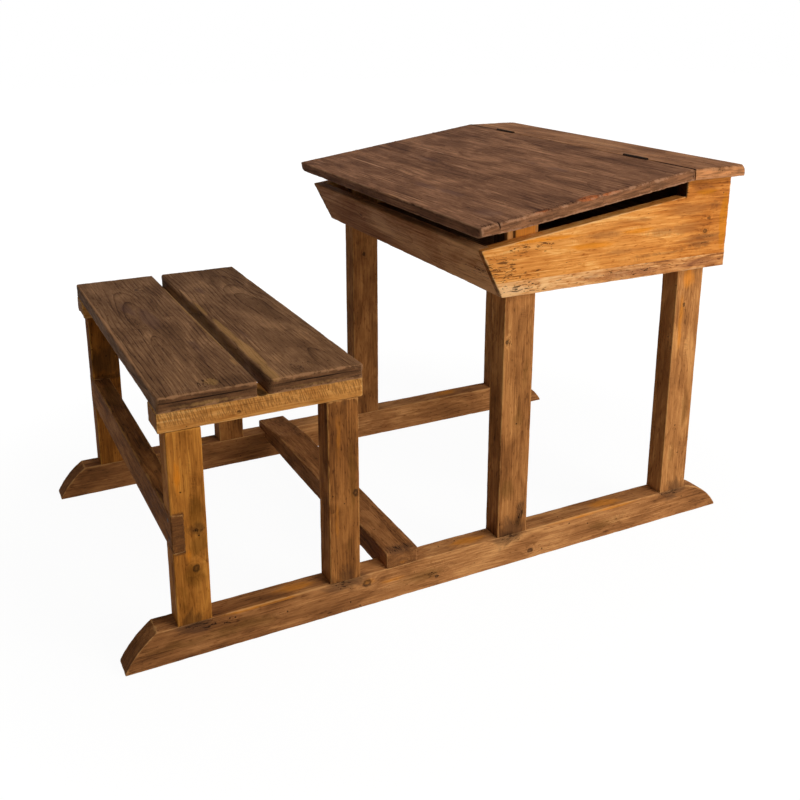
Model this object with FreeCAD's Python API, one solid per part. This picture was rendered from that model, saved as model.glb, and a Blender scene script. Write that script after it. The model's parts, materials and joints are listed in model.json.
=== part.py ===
"""School desk with a lift lid and an attached bench, both standing on two long runners.

Millimetres.  +Z is up, +Y is the way the pupil faces, from the bench to the desk, and +X is
the pupil's right.  The origin is on the floor, midway between the runners and midway along them.
Places along the desk are chained from the runners' rear toe, behind the bench, to the front toe.
"""
import FreeCAD, Part
import math
import os

V = FreeCAD.Vector
X_AXIS, Y_AXIS, Z_AXIS = V(1, 0, 0), V(0, 1, 0), V(0, 0, 1)
SIDES = {"left": -1, "right": 1}

# ---------------------------------------------------------------- driving dimensions

# frame
frame_width = 702.0            # over the outer faces of runners and legs
frame_thickness = 44.0         # runners and legs, across the desk
runner_height = 64.0
rear_toe_rise = 54.0           # length of the rounded rise at the rear toe
rear_toe_level = 34.5          # level top from there to the rear bench leg
front_toe_rise = 86.0          # length of the longer rise at the front toe
front_toe_level = 6.0          # level top from the rear desk leg to it
toe_height = 4.0               # blunt height left at each toe
rear_toe_bulge = 5.0           # how far each rise swells above its chord
front_toe_bulge = 11.0
tenon_depth = 34.0
tenon_thickness = 20.0
tenon_shoulder = 8.0           # leg wood left in front of and behind a tenon

# bench
seat_height = 465.0
seat_thickness = 26.0
seat_overhang = 6.0            # of the planks past the frame's outer faces
rear_plank_width = 159.0
front_plank_width = 163.0
seat_gap = 20.0
seat_arris = 4.0
bench_leg_depth = 57.0
rear_leg_inset = 10.5          # from the seat's back edge to the rear bench legs
front_leg_inset = 7.0          # from the front bench legs to the seat's front edge
bearer_width = 58.0
bearer_height = 34.0
bearer_lap = 1.0               # of the bearers past the seat's back and front edges
bearer_tenon_depth = 22.0
stretcher_height = 65.0
stretcher_thickness = 34.0
stretcher_end_thickness = 19.5 # of its thinned ends, housed in the rear bench legs
stretcher_bottom = 197.0

# between bench and desk
knee_space = 285.5             # from the front bench legs to the front desk legs
footrest_space = 52.0          # from the front bench legs to the footrest
footrest_width = 62.0
footrest_thickness = 44.0
footrest_notch = 14.0          # depth of the notches that let its ends down over the runners
footrest_worn_length = 150.0   # stretch at the left end that is worn down
footrest_worn_drop = 14.0

# desk legs
desk_leg_depth = 65.0
desk_leg_space = 333.5         # from the front to the rear desk legs

# desk box
top_height = 750.0             # top of the hinge rail
box_height = 180.0             # from the bottom of the side panels to their rear shelf
side_panel_thickness = 26.0
side_strip_height = 27.0       # narrow board glued along the bottom of each side panel
box_foot = 24.0                # from the bottom front edge of the box to the front legs
box_front_run = 44.0           # how far the box's front leans out towards the pupil
box_rear_overhang = 26.0       # of the box past the rear legs
shelf_lead = 20.0              # from each panel's step up to the rear legs
finger_gap_front = 29.0        # lid underside to side panel, at the front of the box
finger_gap_rear = 36.0         # and at the step
rebate_depth = 13.0            # housing of the front and back panels in each side panel
front_panel_thickness = 21.0
back_panel_thickness = 18.0
bottom_thickness = 12.0
cleat_size = 20.0

# lid and hinge rail
top_side_overhang = 28.0       # of lid and rail past the side panels
lid_front_overhang = 20.0      # of the lid past the top front edge of the box
lid_drop = 66.0                # fall of the lid's top from its joint to its front edge
lid_thickness = 21.0
lid_arris = 5.0
lid_first_board = 37.0         # width of the narrow front board, measured along the slope
lid_board_count = 5
lid_joint_gap = 2.2
joint_lead = 28.5              # from the middle of that gap to the rear legs
joint_arris = 2.5              # rounding of the two edges that meet at the joint
rail_thickness = 21.0
rail_rear_overhang = 12.0      # of the rail past the back of the box
rail_arris = 7.0
lid_rest_gap = 0.25            # lid underside to the tops of the front legs
lid_open_angle = 110.0
batten_width = 45.0
batten_thickness = 18.0
batten_leg_gap = 70.0          # from the inner face of the legs to the batten
batten_front_margin = 75.0     # from the lid's front edge to the batten, along the slope
batten_rear_margin = 40.0

# hinges
hinge_length = 70.0
hinge_end_margin = 134.0       # from the lid's end to the hinge
leaf_thickness = 1.0
leaf_margin = 0.8              # wood left below a leaf, at the edge it is screwed to
knuckle_radius = 3.4
knuckle_count = 5
knuckle_gap = 0.3
knuckle_clearance = 0.4        # wood cut away round the knuckles
pin_radius = 1.6
pin_running_clearance = 0.05
pin_below_top = 0.0            # pin centre below the top of the rail; the knuckles stand proud
pin_overhang = 0.5

# screws, brads and dowels; a bite is the length held by the last piece
screw_radius = 2.0
screw_head_radius = 4.0
screw_point_radius = 0.5
hinge_screw_radius = 1.2
hinge_screw_head_radius = 2.4
hinge_screw_length = 16.0
hinge_screws_per_leaf = 3
side_bite = 14.0
side_screw_top_margin = 16.0   # from the side panel's top edge to the upper screw in each leg
seat_bite = 12.0
seat_screws_per_plank_end = 2
cleat_screws_per_side = 3
bottom_bite = 14.0
bottom_screws_per_side = 4
batten_bite = 12.0
batten_screws_per_board = 2
back_bite = 22.0
back_screws_per_end = 3
stretcher_bite = 25.5
stretcher_screws_per_end = 2
footrest_screw_sink = 14.0     # depth of the well under each footrest screw
footrest_screw_cover = 6.0     # wood left above its point
brad_radius = 1.2
brad_bite = 15.0
brads_per_end = 3
dowel_radius = 4.0
dowel_length = 36.0
dowel_cover = 4.5              # wood left above each dowel
dowels_per_side = 2

# working allowances of the model itself
cut_margin = 1.0               # how far a cutting block runs past what it cuts
same_place = 0.01              # two places nearer than this are the same

# ---------------------------------------------------------------- places worked out from them

# across the desk
half_frame = frame_width / 2
frame_inner = half_frame - frame_thickness
frame_middle = half_frame - frame_thickness / 2
half_seat = half_frame + seat_overhang
bearer_inner = half_frame - bearer_width
panel_outer = half_frame + side_panel_thickness
rebate_face = half_frame + rebate_depth
rebate_middle = half_frame + rebate_depth / 2
half_top = panel_outer + top_side_overhang
batten_middle = frame_inner - batten_leg_gap - batten_width / 2
hinge_middle = half_top - hinge_end_margin - hinge_length / 2

# heights
bearer_top = seat_height - seat_thickness
bearer_bottom = bearer_top - bearer_height
footrest_bottom = runner_height - footrest_notch
footrest_top = footrest_bottom + footrest_thickness
shelf_height = top_height - rail_thickness
box_bottom = shelf_height - box_height
cleat_top = box_bottom + cleat_size
cleat_middle = box_bottom + cleat_size / 2
bottom_top = cleat_top + bottom_thickness
strip_top = box_bottom + side_strip_height
pin_z = top_height - pin_below_top
leaf_height = min(lid_thickness, rail_thickness) - pin_below_top - leaf_margin

# lengths along the desk, from the rear toe
rear_bench_leg_start = rear_toe_rise + rear_toe_level
seat_start = rear_bench_leg_start - rear_leg_inset
seat_depth = rear_plank_width + seat_gap + front_plank_width
bench_end = seat_start + seat_depth - front_leg_inset
front_desk_leg_start = bench_end + knee_space
rear_desk_leg_start = front_desk_leg_start + desk_leg_depth + desk_leg_space
runner_length = rear_desk_leg_start + desk_leg_depth + front_toe_level + front_toe_rise


def from_toe(distance):
    """Y of a point this far in front of the rear toe."""
    return distance - runner_length / 2


# along the desk
rear_toe = from_toe(0)
front_toe = from_toe(runner_length)
seat_back = from_toe(seat_start)
rear_plank_front = seat_back + rear_plank_width
front_plank_back = rear_plank_front + seat_gap
seat_front = seat_back + seat_depth
bench_leg_backs = {
    "rear": from_toe(rear_bench_leg_start),
    "front": from_toe(bench_end - bench_leg_depth),
}
footrest_back = from_toe(bench_end + footrest_space)
desk_leg_backs = {
    "front": from_toe(front_desk_leg_start),
    "rear": from_toe(rear_desk_leg_start),
}
leg_gap_back = desk_leg_backs["front"] + desk_leg_depth
leg_gap_front = desk_leg_backs["rear"]
box_front_bottom = desk_leg_backs["front"] - box_foot
box_front_top = box_front_bottom - box_front_run
box_rear = desk_leg_backs["rear"] + desk_leg_depth + box_rear_overhang
shelf_front = desk_leg_backs["rear"] - shelf_lead
joint_y = desk_leg_backs["rear"] - joint_lead
lid_front = box_front_top - lid_front_overhang
lid_back = joint_y - lid_joint_gap / 2
rail_front = joint_y + lid_joint_gap / 2
rail_back = box_rear + rail_rear_overhang

# slopes of the lid, of the side panels' top edges and of the box's front
lid_slope = lid_drop / (lid_back - lid_front)
lid_pitch = math.atan(lid_slope)
pitch_cos, pitch_sin = math.cos(lid_pitch), math.sin(lid_pitch)
lid_fall = lid_thickness / pitch_cos
lid_length = (lid_back - lid_front) / pitch_cos


def lid_top_at(y):
    """Height of the lid's top face at rest."""
    return top_height - (lid_back - y) * lid_slope


def lid_under_at(y):
    """Height of the lid's underside at rest."""
    return lid_top_at(y) - lid_fall


def panel_top_at(y):
    """Height of the sloping top edge of the side panels, ahead of their step."""
    share = (y - box_front_top) / (shelf_front - box_front_top)
    gap = finger_gap_front + (finger_gap_rear - finger_gap_front) * share
    return lid_under_at(y) - gap


box_front_height = panel_top_at(box_front_top)
panel_top_slope = (panel_top_at(shelf_front) - box_front_height) / (shelf_front - box_front_top)
front_lean = box_front_run / (box_front_height - box_bottom)
front_angle = math.atan(front_lean)
front_panel_reach = front_panel_thickness / math.cos(front_angle)


def front_face_at(z):
    """Y of the leaning front of the box."""
    return box_front_bottom - (z - box_bottom) * front_lean


def lid_point(distance, depth=0.0):
    """(Y, Z) at a distance from the lid's front edge along its slope and a depth below its top."""
    y = lid_front + distance * pitch_cos
    return y + depth * pitch_sin, lid_top_at(y) - depth * pitch_cos


# ---------------------------------------------------------------- small makers


def block(x0, x1, y0, y1, z0, z1):
    """Box between two corners."""
    low = V(min(x0, x1), min(y0, y1), min(z0, z1))
    return Part.makeBox(abs(x1 - x0), abs(y1 - y0), abs(z1 - z0), low)


def profile(points, x0, x1):
    """Prism of an outline in the YZ plane, from x0 to x1."""
    corners = [V(x0, y, z) for y, z in points]
    wire = Part.makePolygon(corners + corners[:1])
    return Part.Face(wire).extrude(V(x1 - x0, 0, 0))


def rod(radius, start, direction, length):
    return Part.makeCylinder(radius, length, start, direction)


def screw(start, direction, length, radius=screw_radius, head_radius=screw_head_radius):
    """Countersunk screw: its flat head lies at start and its point is length away."""
    head = Part.makeCone(head_radius, radius, head_radius - radius, start, direction)
    shank = rod(radius, start, direction, length - radius)
    point_start = start + direction * (length - radius)
    point = Part.makeCone(radius, screw_point_radius, radius, point_start, direction)
    return head.fuse([shank, point]).removeSplitter()


def round_edges(solid, radius, chosen):
    """Fillet the straight edges whose middle point satisfies chosen(middle)."""
    edges = []
    for edge in solid.Edges:
        ends = [vertex.Point for vertex in edge.Vertexes]
        if len(ends) == 2 and chosen((ends[0] + ends[1]) / 2):
            edges.append(edge)
    return solid.makeFillet(radius, edges)


def near(a, b):
    return abs(a - b) < same_place


def mirrored(shape):
    return shape.mirror(V(0, 0, 0), X_AXIS)


def both_sides(solids):
    return solids + [mirrored(solid) for solid in solids]


def spread(low, high, count):
    """Places evenly spaced inside a stretch, half a step in from its ends."""
    step = (high - low) / count
    return [low + step * (index + 0.5) for index in range(count)]


# ---------------------------------------------------------------- the pieces, and what cuts them

pieces = {}
cutters = {}


def keep(name, shape):
    pieces[name] = shape
    cutters[name] = []


def keep_pair(name, right_shape):
    keep("right_" + name, right_shape)
    keep("left_" + name, mirrored(right_shape))


def pair(name):
    return ["left_" + name, "right_" + name]


def fasten(name, fasteners, held):
    """Keep a set of fasteners as one node and cut their holes in the pieces that they hold."""
    keep(name, Part.makeCompound(fasteners))
    for piece in held:
        cutters[piece].extend(fasteners)


# ---------------------------------------------------------------- runners and legs


def tenon(leg_back, leg_depth, z0, z1):
    """Tenon in the middle of a right leg's thickness."""
    return block(
        frame_middle - tenon_thickness / 2, frame_middle + tenon_thickness / 2,
        leg_back + tenon_shoulder, leg_back + leg_depth - tenon_shoulder, z0, z1,
    )


def foot_tenon(leg_back, leg_depth):
    return tenon(leg_back, leg_depth, runner_height - tenon_depth, runner_height)


def bearer_tenon(leg_back):
    return tenon(leg_back, bench_leg_depth, bearer_bottom, bearer_bottom + bearer_tenon_depth)


def toe_arc(toe, shoulder, bulge):
    """Rounded rise from a toe to its shoulder, swelling above their chord."""
    chord = shoulder - toe
    upward = V(0, -chord.z, chord.y) if chord.y > 0 else V(0, chord.z, -chord.y)
    middle = (toe + shoulder) / 2 + upward.normalize() * bulge
    return Part.Arc(toe, middle, shoulder).toShape()


def make_runner():
    x = frame_inner
    rear_tip, front_tip = V(x, rear_toe, toe_height), V(x, front_toe, toe_height)
    rear_shoulder = V(x, rear_toe + rear_toe_rise, runner_height)
    front_shoulder = V(x, front_toe - front_toe_rise, runner_height)
    rear_foot, front_foot = V(x, rear_toe, 0), V(x, front_toe, 0)
    outline = Part.Wire([
        toe_arc(rear_tip, rear_shoulder, rear_toe_bulge),
        Part.makeLine(rear_shoulder, front_shoulder),
        toe_arc(front_tip, front_shoulder, front_toe_bulge),
        Part.makeLine(front_tip, front_foot),
        Part.makeLine(front_foot, rear_foot),
        Part.makeLine(rear_foot, rear_tip),
    ])
    runner = Part.Face(outline).extrude(V(frame_thickness, 0, 0))
    mortises = [foot_tenon(back, bench_leg_depth) for back in bench_leg_backs.values()]
    mortises += [foot_tenon(back, desk_leg_depth) for back in desk_leg_backs.values()]
    return runner.cut(mortises)


def make_bench_leg(leg_back):
    leg = block(
        frame_inner, half_frame, leg_back, leg_back + bench_leg_depth, runner_height, bearer_bottom,
    )
    tenons = [foot_tenon(leg_back, bench_leg_depth), bearer_tenon(leg_back)]
    return leg.fuse(tenons).removeSplitter()


def make_front_desk_leg():
    """It stands proud of the side panel, and its sloped top carries the lid."""
    back = desk_leg_backs["front"]
    front = back + desk_leg_depth
    leg = profile(
        [
            (back, runner_height),
            (front, runner_height),
            (front, lid_under_at(front) - lid_rest_gap),
            (back, lid_under_at(back) - lid_rest_gap),
        ],
        frame_inner, half_frame,
    )
    return leg.fuse(foot_tenon(back, desk_leg_depth))


def make_rear_desk_leg():
    """It runs up to the underside of the hinge rail."""
    back = desk_leg_backs["rear"]
    leg = block(frame_inner, half_frame, back, back + desk_leg_depth, runner_height, shelf_height)
    return leg.fuse(foot_tenon(back, desk_leg_depth))


# ---------------------------------------------------------------- bench and footrest


def stretcher_block(half_length, thickness):
    """Part of the rear stretcher, flush with the backs of the rear bench legs."""
    back = bench_leg_backs["rear"]
    return block(
        -half_length, half_length, back, back + thickness,
        stretcher_bottom, stretcher_bottom + stretcher_height,
    )


def stretcher_ends():
    """Its thinned ends, and what lies between them."""
    return stretcher_block(half_frame, stretcher_end_thickness)


def make_stretcher():
    """Its shoulders meet the inner faces of the legs, and its thinned ends are housed in them."""
    body = stretcher_block(frame_inner, stretcher_thickness)
    return body.fuse(stretcher_ends()).removeSplitter()


def make_bearer():
    bearer = block(
        bearer_inner, half_frame, seat_back - bearer_lap, seat_front + bearer_lap,
        bearer_bottom, bearer_top,
    )
    return bearer.cut([bearer_tenon(back) for back in bench_leg_backs.values()])


def make_plank(y0, y1):
    plank = block(-half_seat, half_seat, y0, y1, bearer_top, seat_height)
    return round_edges(plank, seat_arris, lambda middle: near(middle.z, seat_height))


def make_footrest():
    """Board notched over both runners, its top worn down towards the left end."""
    front = footrest_back + footrest_width
    board = block(-half_frame, half_frame, footrest_back, front, footrest_bottom, footrest_top)
    notch = block(
        frame_inner, half_frame + cut_margin, footrest_back - cut_margin, front + cut_margin,
        footrest_bottom - cut_margin, runner_height,
    )
    worn_away = Part.makePolygon([
        V(-half_frame, footrest_back, footrest_top - footrest_worn_drop),
        V(footrest_worn_length - half_frame, footrest_back, footrest_top),
        V(-half_frame, footrest_back, footrest_top),
        V(-half_frame, footrest_back, footrest_top - footrest_worn_drop),
    ])
    wear = Part.Face(worn_away).extrude(V(0, footrest_width, 0))
    return board.cut(both_sides([notch]) + [wear])


# ---------------------------------------------------------------- desk box


def make_front_panel():
    """Leaning board: its bottom is level and its top follows the side panels' slope."""
    extra_rise = front_panel_reach * panel_top_slope / (1 + panel_top_slope * front_lean)
    outline = [
        (box_front_bottom, box_bottom),
        (box_front_bottom + front_panel_reach, box_bottom),
        (box_front_top + front_panel_reach - extra_rise * front_lean, box_front_height + extra_rise),
        (box_front_top, box_front_height),
    ]
    return profile(outline, -rebate_face, rebate_face)


def make_back_panel():
    return block(
        -rebate_face, rebate_face, box_rear - back_panel_thickness, box_rear, box_bottom, shelf_height,
    )


def make_side():
    """Whole right side, before its bottom strip is parted from it."""
    outline = [
        (box_front_bottom, box_bottom),
        (box_rear, box_bottom),
        (box_rear, shelf_height),
        (shelf_front, shelf_height),
        (shelf_front, panel_top_at(shelf_front)),
        (box_front_top, box_front_height),
    ]
    return profile(outline, half_frame, panel_outer).cut([make_front_panel(), make_back_panel()])


def strip_space():
    return block(
        half_frame - cut_margin, panel_outer + cut_margin,
        box_front_top - cut_margin, box_rear + cut_margin, box_bottom - cut_margin, strip_top,
    )


def make_bottom():
    """Bottom board on its cleats, notched round the four desk legs."""
    rear = box_rear - back_panel_thickness
    outline = [
        (front_face_at(cleat_top) + front_panel_reach, cleat_top),
        (rear, cleat_top),
        (rear, bottom_top),
        (front_face_at(bottom_top) + front_panel_reach, bottom_top),
    ]
    notches = []
    for back in desk_leg_backs.values():
        notches.append(
            block(frame_inner, half_frame, back, back + desk_leg_depth, cleat_top, bottom_top)
        )
    return profile(outline, -half_frame, half_frame).cut(both_sides(notches))


def make_cleat():
    return block(
        half_frame - cleat_size, half_frame, leg_gap_back, leg_gap_front, box_bottom, cleat_top,
    )


# ---------------------------------------------------------------- hinge rail and lid


def knuckle_spaces():
    """Wood cut away round both hinges' knuckles and the ends of their pins."""
    reach = hinge_length / 2 + pin_overhang + knuckle_clearance
    start = V(hinge_middle - reach, joint_y, pin_z)
    return both_sides([rod(knuckle_radius + knuckle_clearance, start, X_AXIS, 2 * reach)])


def make_rail():
    rail = block(-half_top, half_top, rail_front, rail_back, shelf_height, top_height)
    rail = round_edges(
        rail, rail_arris, lambda middle: near(middle.z, top_height) and not near(middle.y, rail_front),
    )
    rail = round_edges(
        rail, joint_arris, lambda middle: near(middle.z, top_height) and near(middle.y, rail_front),
    )
    return rail.cut(knuckle_spaces())


def on_lid_top(middle):
    return near(middle.z, lid_top_at(middle.y))


def make_whole_lid():
    """Lid before it is divided into its boards: a square front edge and an upright rear edge."""
    outline = [
        lid_point(0),
        (lid_back, top_height),
        (lid_back, lid_under_at(lid_back)),
        lid_point(0, lid_thickness),
    ]
    lid = profile(outline, -half_top, half_top)
    lid = round_edges(
        lid, lid_arris, lambda middle: on_lid_top(middle) and not near(middle.y, lid_back),
    )
    lid = round_edges(
        lid, joint_arris, lambda middle: on_lid_top(middle) and near(middle.y, lid_back),
    )
    return lid.cut(knuckle_spaces())


def lid_bar(x0, x1, start, end, top_depth, bottom_depth):
    """Bar square to the lid's slope, between two distances and two depths below its top."""
    corners = ((start, top_depth), (end, top_depth), (end, bottom_depth), (start, bottom_depth))
    return profile([lid_point(distance, depth) for distance, depth in corners], x0, x1)


def board_spans():
    """Start and end of each lid board, measured from the front edge along the slope."""
    width = (lid_length - lid_first_board) / (lid_board_count - 1)
    spans = [(0.0, lid_first_board)]
    for index in range(lid_board_count - 1):
        start = lid_first_board + index * width
        spans.append((start, start + width))
    return spans


def lid_board_names():
    return ["lid_board_{}".format(number + 1) for number in range(lid_board_count)]


def keep_lid_boards():
    whole = make_whole_lid()
    reach = half_top + cut_margin
    for name, (start, end) in zip(lid_board_names(), board_spans()):
        if start == 0:
            start -= lid_thickness
        if near(end, lid_length):
            end += lid_thickness
        slice_space = lid_bar(-reach, reach, start, end, -cut_margin, lid_thickness + cut_margin)
        keep(name, whole.common(slice_space))


def make_batten():
    return lid_bar(
        batten_middle - batten_width / 2, batten_middle + batten_width / 2,
        batten_front_margin, lid_length - batten_rear_margin,
        lid_thickness, lid_thickness + batten_thickness,
    )


# ---------------------------------------------------------------- hinges


def knuckle_starts(middle):
    """Where each knuckle of a hinge begins, across the desk."""
    pitch = hinge_length / knuckle_count
    first = middle - hinge_length / 2 + knuckle_gap / 2
    return [first + index * pitch for index in range(knuckle_count)]


def make_leaf(middle, wood_face, into_gap, own, bore_radius):
    """Leaf against an upright wood face, with the knuckles of one parity (0 or 1)."""
    plate = block(
        middle - hinge_length / 2, middle + hinge_length / 2,
        wood_face, wood_face + into_gap * leaf_thickness, pin_z - leaf_height, pin_z,
    )
    length = hinge_length / knuckle_count - knuckle_gap
    knuckles, spaces = [], []
    for index, x in enumerate(knuckle_starts(middle)):
        if index % 2 == own:
            knuckles.append(rod(knuckle_radius, V(x, joint_y, pin_z), X_AXIS, length))
        else:
            start = V(x - knuckle_gap, joint_y, pin_z)
            spaces.append(rod(knuckle_radius + knuckle_gap, start, X_AXIS, length + 2 * knuckle_gap))
    bore = rod(bore_radius, V(middle - hinge_length, joint_y, pin_z), X_AXIS, 2 * hinge_length)
    return plate.fuse(knuckles).cut(spaces + [bore]).removeSplitter()


def make_hinge_pin(middle):
    half = hinge_length / 2 + pin_overhang
    return rod(pin_radius, V(middle - half, joint_y, pin_z), X_AXIS, 2 * half)


def leaf_screws(wood_face, into_wood):
    """Screws through the right hinge's leaf, their heads flush with its face in the joint."""
    y = wood_face - into_wood * leaf_thickness
    z = pin_z - (knuckle_radius + leaf_height) / 2
    screws = []
    for x in spread(hinge_middle - hinge_length / 2, hinge_middle + hinge_length / 2, hinge_screws_per_leaf):
        screws.append(
            screw(
                V(x, y, z), V(0, into_wood, 0), hinge_screw_length,
                hinge_screw_radius, hinge_screw_head_radius,
            )
        )
    return screws


def keep_hinges():
    for side, sign in SIDES.items():
        middle = sign * hinge_middle
        loose_bore = pin_radius + pin_running_clearance
        keep(side + "_hinge_pin", make_hinge_pin(middle))
        keep(side + "_hinge_rail_leaf", make_leaf(middle, rail_front, -1, 0, pin_radius))
        keep(side + "_hinge_lid_leaf", make_leaf(middle, lid_back, 1, 1, loose_bore))
    rail_screws = both_sides(leaf_screws(rail_front, 1))
    lid_screws = both_sides(leaf_screws(lid_back, -1))
    fasten("hinge_rail_screws", rail_screws, ["hinge_rail"] + pair("hinge_rail_leaf"))
    fasten("hinge_lid_screws", lid_screws, lid_board_names()[-1:] + pair("hinge_lid_leaf"))


# ---------------------------------------------------------------- screws, brads and dowels


def keep_side_screws():
    """From inside each desk leg, outwards into the side panel and its bottom strip."""
    screws = []
    for back in desk_leg_backs.values():
        y = back + desk_leg_depth / 2
        for z in (cleat_middle, panel_top_at(y) - side_screw_top_margin):
            screws.append(screw(V(frame_inner, y, z), X_AXIS, frame_thickness + side_bite))
    held = pair("front_desk_leg") + pair("rear_desk_leg") + pair("side_panel") + pair("side_strip")
    fasten("side_screws", both_sides(screws), held)


def keep_seat_screws():
    """Up through the inner lip of each bearer, clear of the legs, into the planks."""
    x = (bearer_inner + frame_inner) / 2
    screws = []
    for y0, y1 in ((seat_back, rear_plank_front), (front_plank_back, seat_front)):
        for y in spread(y0, y1, seat_screws_per_plank_end):
            screws.append(screw(V(x, y, bearer_bottom), Z_AXIS, bearer_height + seat_bite))
    held = pair("bench_bearer") + ["rear_seat_plank", "front_seat_plank"]
    fasten("seat_screws", both_sides(screws), held)


def keep_cleat_screws():
    """From each cleat outwards into the bottom strip of the side."""
    screws = []
    for y in spread(leg_gap_back, leg_gap_front, cleat_screws_per_side):
        start = V(half_frame - cleat_size, y, cleat_middle)
        screws.append(screw(start, X_AXIS, cleat_size + side_bite))
    fasten("cleat_screws", both_sides(screws), pair("bottom_cleat") + pair("side_strip"))


def keep_bottom_screws():
    """Down through the bottom board into its cleats, between the cleat screws."""
    screws = []
    for y in spread(leg_gap_back, leg_gap_front, bottom_screws_per_side):
        start = V(half_frame - cleat_size / 2, y, bottom_top)
        screws.append(screw(start, -Z_AXIS, bottom_thickness + bottom_bite))
    fasten("bottom_screws", both_sides(screws), ["bottom_board"] + pair("bottom_cleat"))


def keep_batten_screws():
    """Up through each batten into every lid board that it crosses."""
    up = V(0, -pitch_sin, pitch_cos)
    screws = []
    for start, end in board_spans():
        first = max(start, batten_front_margin)
        last = min(end, lid_length - batten_rear_margin)
        if first > last:
            continue
        for distance in spread(first, last, batten_screws_per_board):
            y, z = lid_point(distance, lid_thickness + batten_thickness)
            screws.append(screw(V(batten_middle, y, z), up, batten_thickness + batten_bite))
    fasten("batten_screws", both_sides(screws), pair("lid_batten") + lid_board_names())


def keep_back_screws():
    """From behind, through the back panel's ends into the rebates of the side panels."""
    screws = []
    for z in spread(strip_top, shelf_height, back_screws_per_end):
        screws.append(screw(V(rebate_middle, box_rear, z), -Y_AXIS, back_panel_thickness + back_bite))
    fasten("back_panel_screws", both_sides(screws), ["back_panel"] + pair("side_panel"))


def keep_front_brads():
    """Square to the leaning front, through the front panel into the rebates."""
    inward = V(0, math.cos(front_angle), math.sin(front_angle))
    brads = []
    for z in spread(strip_top, box_front_height - front_panel_thickness, brads_per_end):
        start = V(rebate_middle, front_face_at(z), z)
        brads.append(rod(brad_radius, start, inward, front_panel_thickness + brad_bite))
    fasten("front_panel_brads", both_sides(brads), ["front_panel"] + pair("side_panel"))


def keep_rail_dowels():
    """Upright, between the shelves of the side panels and the hinge rail."""
    x = half_frame + side_panel_thickness / 2
    z = top_height - dowel_cover - dowel_length
    dowels = []
    for y in spread(shelf_front, box_rear - back_panel_thickness, dowels_per_side):
        dowels.append(rod(dowel_radius, V(x, y, z), Z_AXIS, dowel_length))
    fasten("rail_dowels", both_sides(dowels), ["hinge_rail"] + pair("side_panel"))


def keep_stretcher_screws():
    """From behind, through the stretcher into the rear bench legs."""
    screws = []
    stretcher_top = stretcher_bottom + stretcher_height
    for z in spread(stretcher_bottom, stretcher_top, stretcher_screws_per_end):
        start = V(frame_middle, bench_leg_backs["rear"], z)
        screws.append(screw(start, Y_AXIS, stretcher_end_thickness + stretcher_bite))
    fasten("stretcher_screws", both_sides(screws), ["bench_stretcher"] + pair("rear_bench_leg"))


def keep_footrest_screws():
    """Up from a well in the bottom of each runner into the footrest."""
    y = footrest_back + footrest_width / 2
    point_z = footrest_top - footrest_worn_drop - footrest_screw_cover
    start = V(frame_middle, y, footrest_screw_sink)
    screws = [screw(start, Z_AXIS, point_z - footrest_screw_sink)]
    fasten("footrest_screws", both_sides(screws), ["footrest"] + pair("runner"))
    well = rod(screw_head_radius, V(frame_middle, y, 0), Z_AXIS, footrest_screw_sink)
    for runner in pair("runner"):
        cutters[runner].extend(both_sides([well]))


# ---------------------------------------------------------------- assembly

keep_pair("runner", make_runner())
keep_pair("rear_bench_leg", make_bench_leg(bench_leg_backs["rear"]).cut(stretcher_ends()))
keep_pair("front_bench_leg", make_bench_leg(bench_leg_backs["front"]))
keep("bench_stretcher", make_stretcher())
keep_pair("bench_bearer", make_bearer())
keep("rear_seat_plank", make_plank(seat_back, rear_plank_front))
keep("front_seat_plank", make_plank(front_plank_back, seat_front))
keep("footrest", make_footrest())
keep_pair("front_desk_leg", make_front_desk_leg())
keep_pair("rear_desk_leg", make_rear_desk_leg())

keep_pair("side_panel", make_side().cut(strip_space()))
keep_pair("side_strip", make_side().common(strip_space()))
keep("front_panel", make_front_panel())
keep("back_panel", make_back_panel())
keep("bottom_board", make_bottom())
keep_pair("bottom_cleat", make_cleat())

keep("hinge_rail", make_rail())
keep_lid_boards()
keep_pair("lid_batten", make_batten())
keep_hinges()

keep_side_screws()
keep_seat_screws()
keep_cleat_screws()
keep_bottom_screws()
keep_batten_screws()
keep_back_screws()
keep_front_brads()
keep_rail_dowels()
keep_stretcher_screws()
keep_footrest_screws()

os.makedirs("parts", exist_ok=True)
for name, shape in pieces.items():
    if cutters[name]:
        shape = shape.cut(cutters[name])
    Part.makeCompound(shape.Solids).exportStep("parts/{}.step".format(name))

print("pieces:", len(pieces))
print("runner length: {:.1f}  lid width: {:.1f}".format(runner_length, 2 * half_top))
print("lid hinge axis: y {:.2f}  z {:.2f}".format(joint_y, pin_z))
print("lid pitch: {:.2f} degrees, opens {:.0f}".format(math.degrees(lid_pitch), lid_open_angle))
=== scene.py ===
import json
import math

import bmesh
import bpy
import numpy as np
from mathutils import Matrix, Vector
from mathutils.geometry import delaunay_2d_cdt

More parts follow.
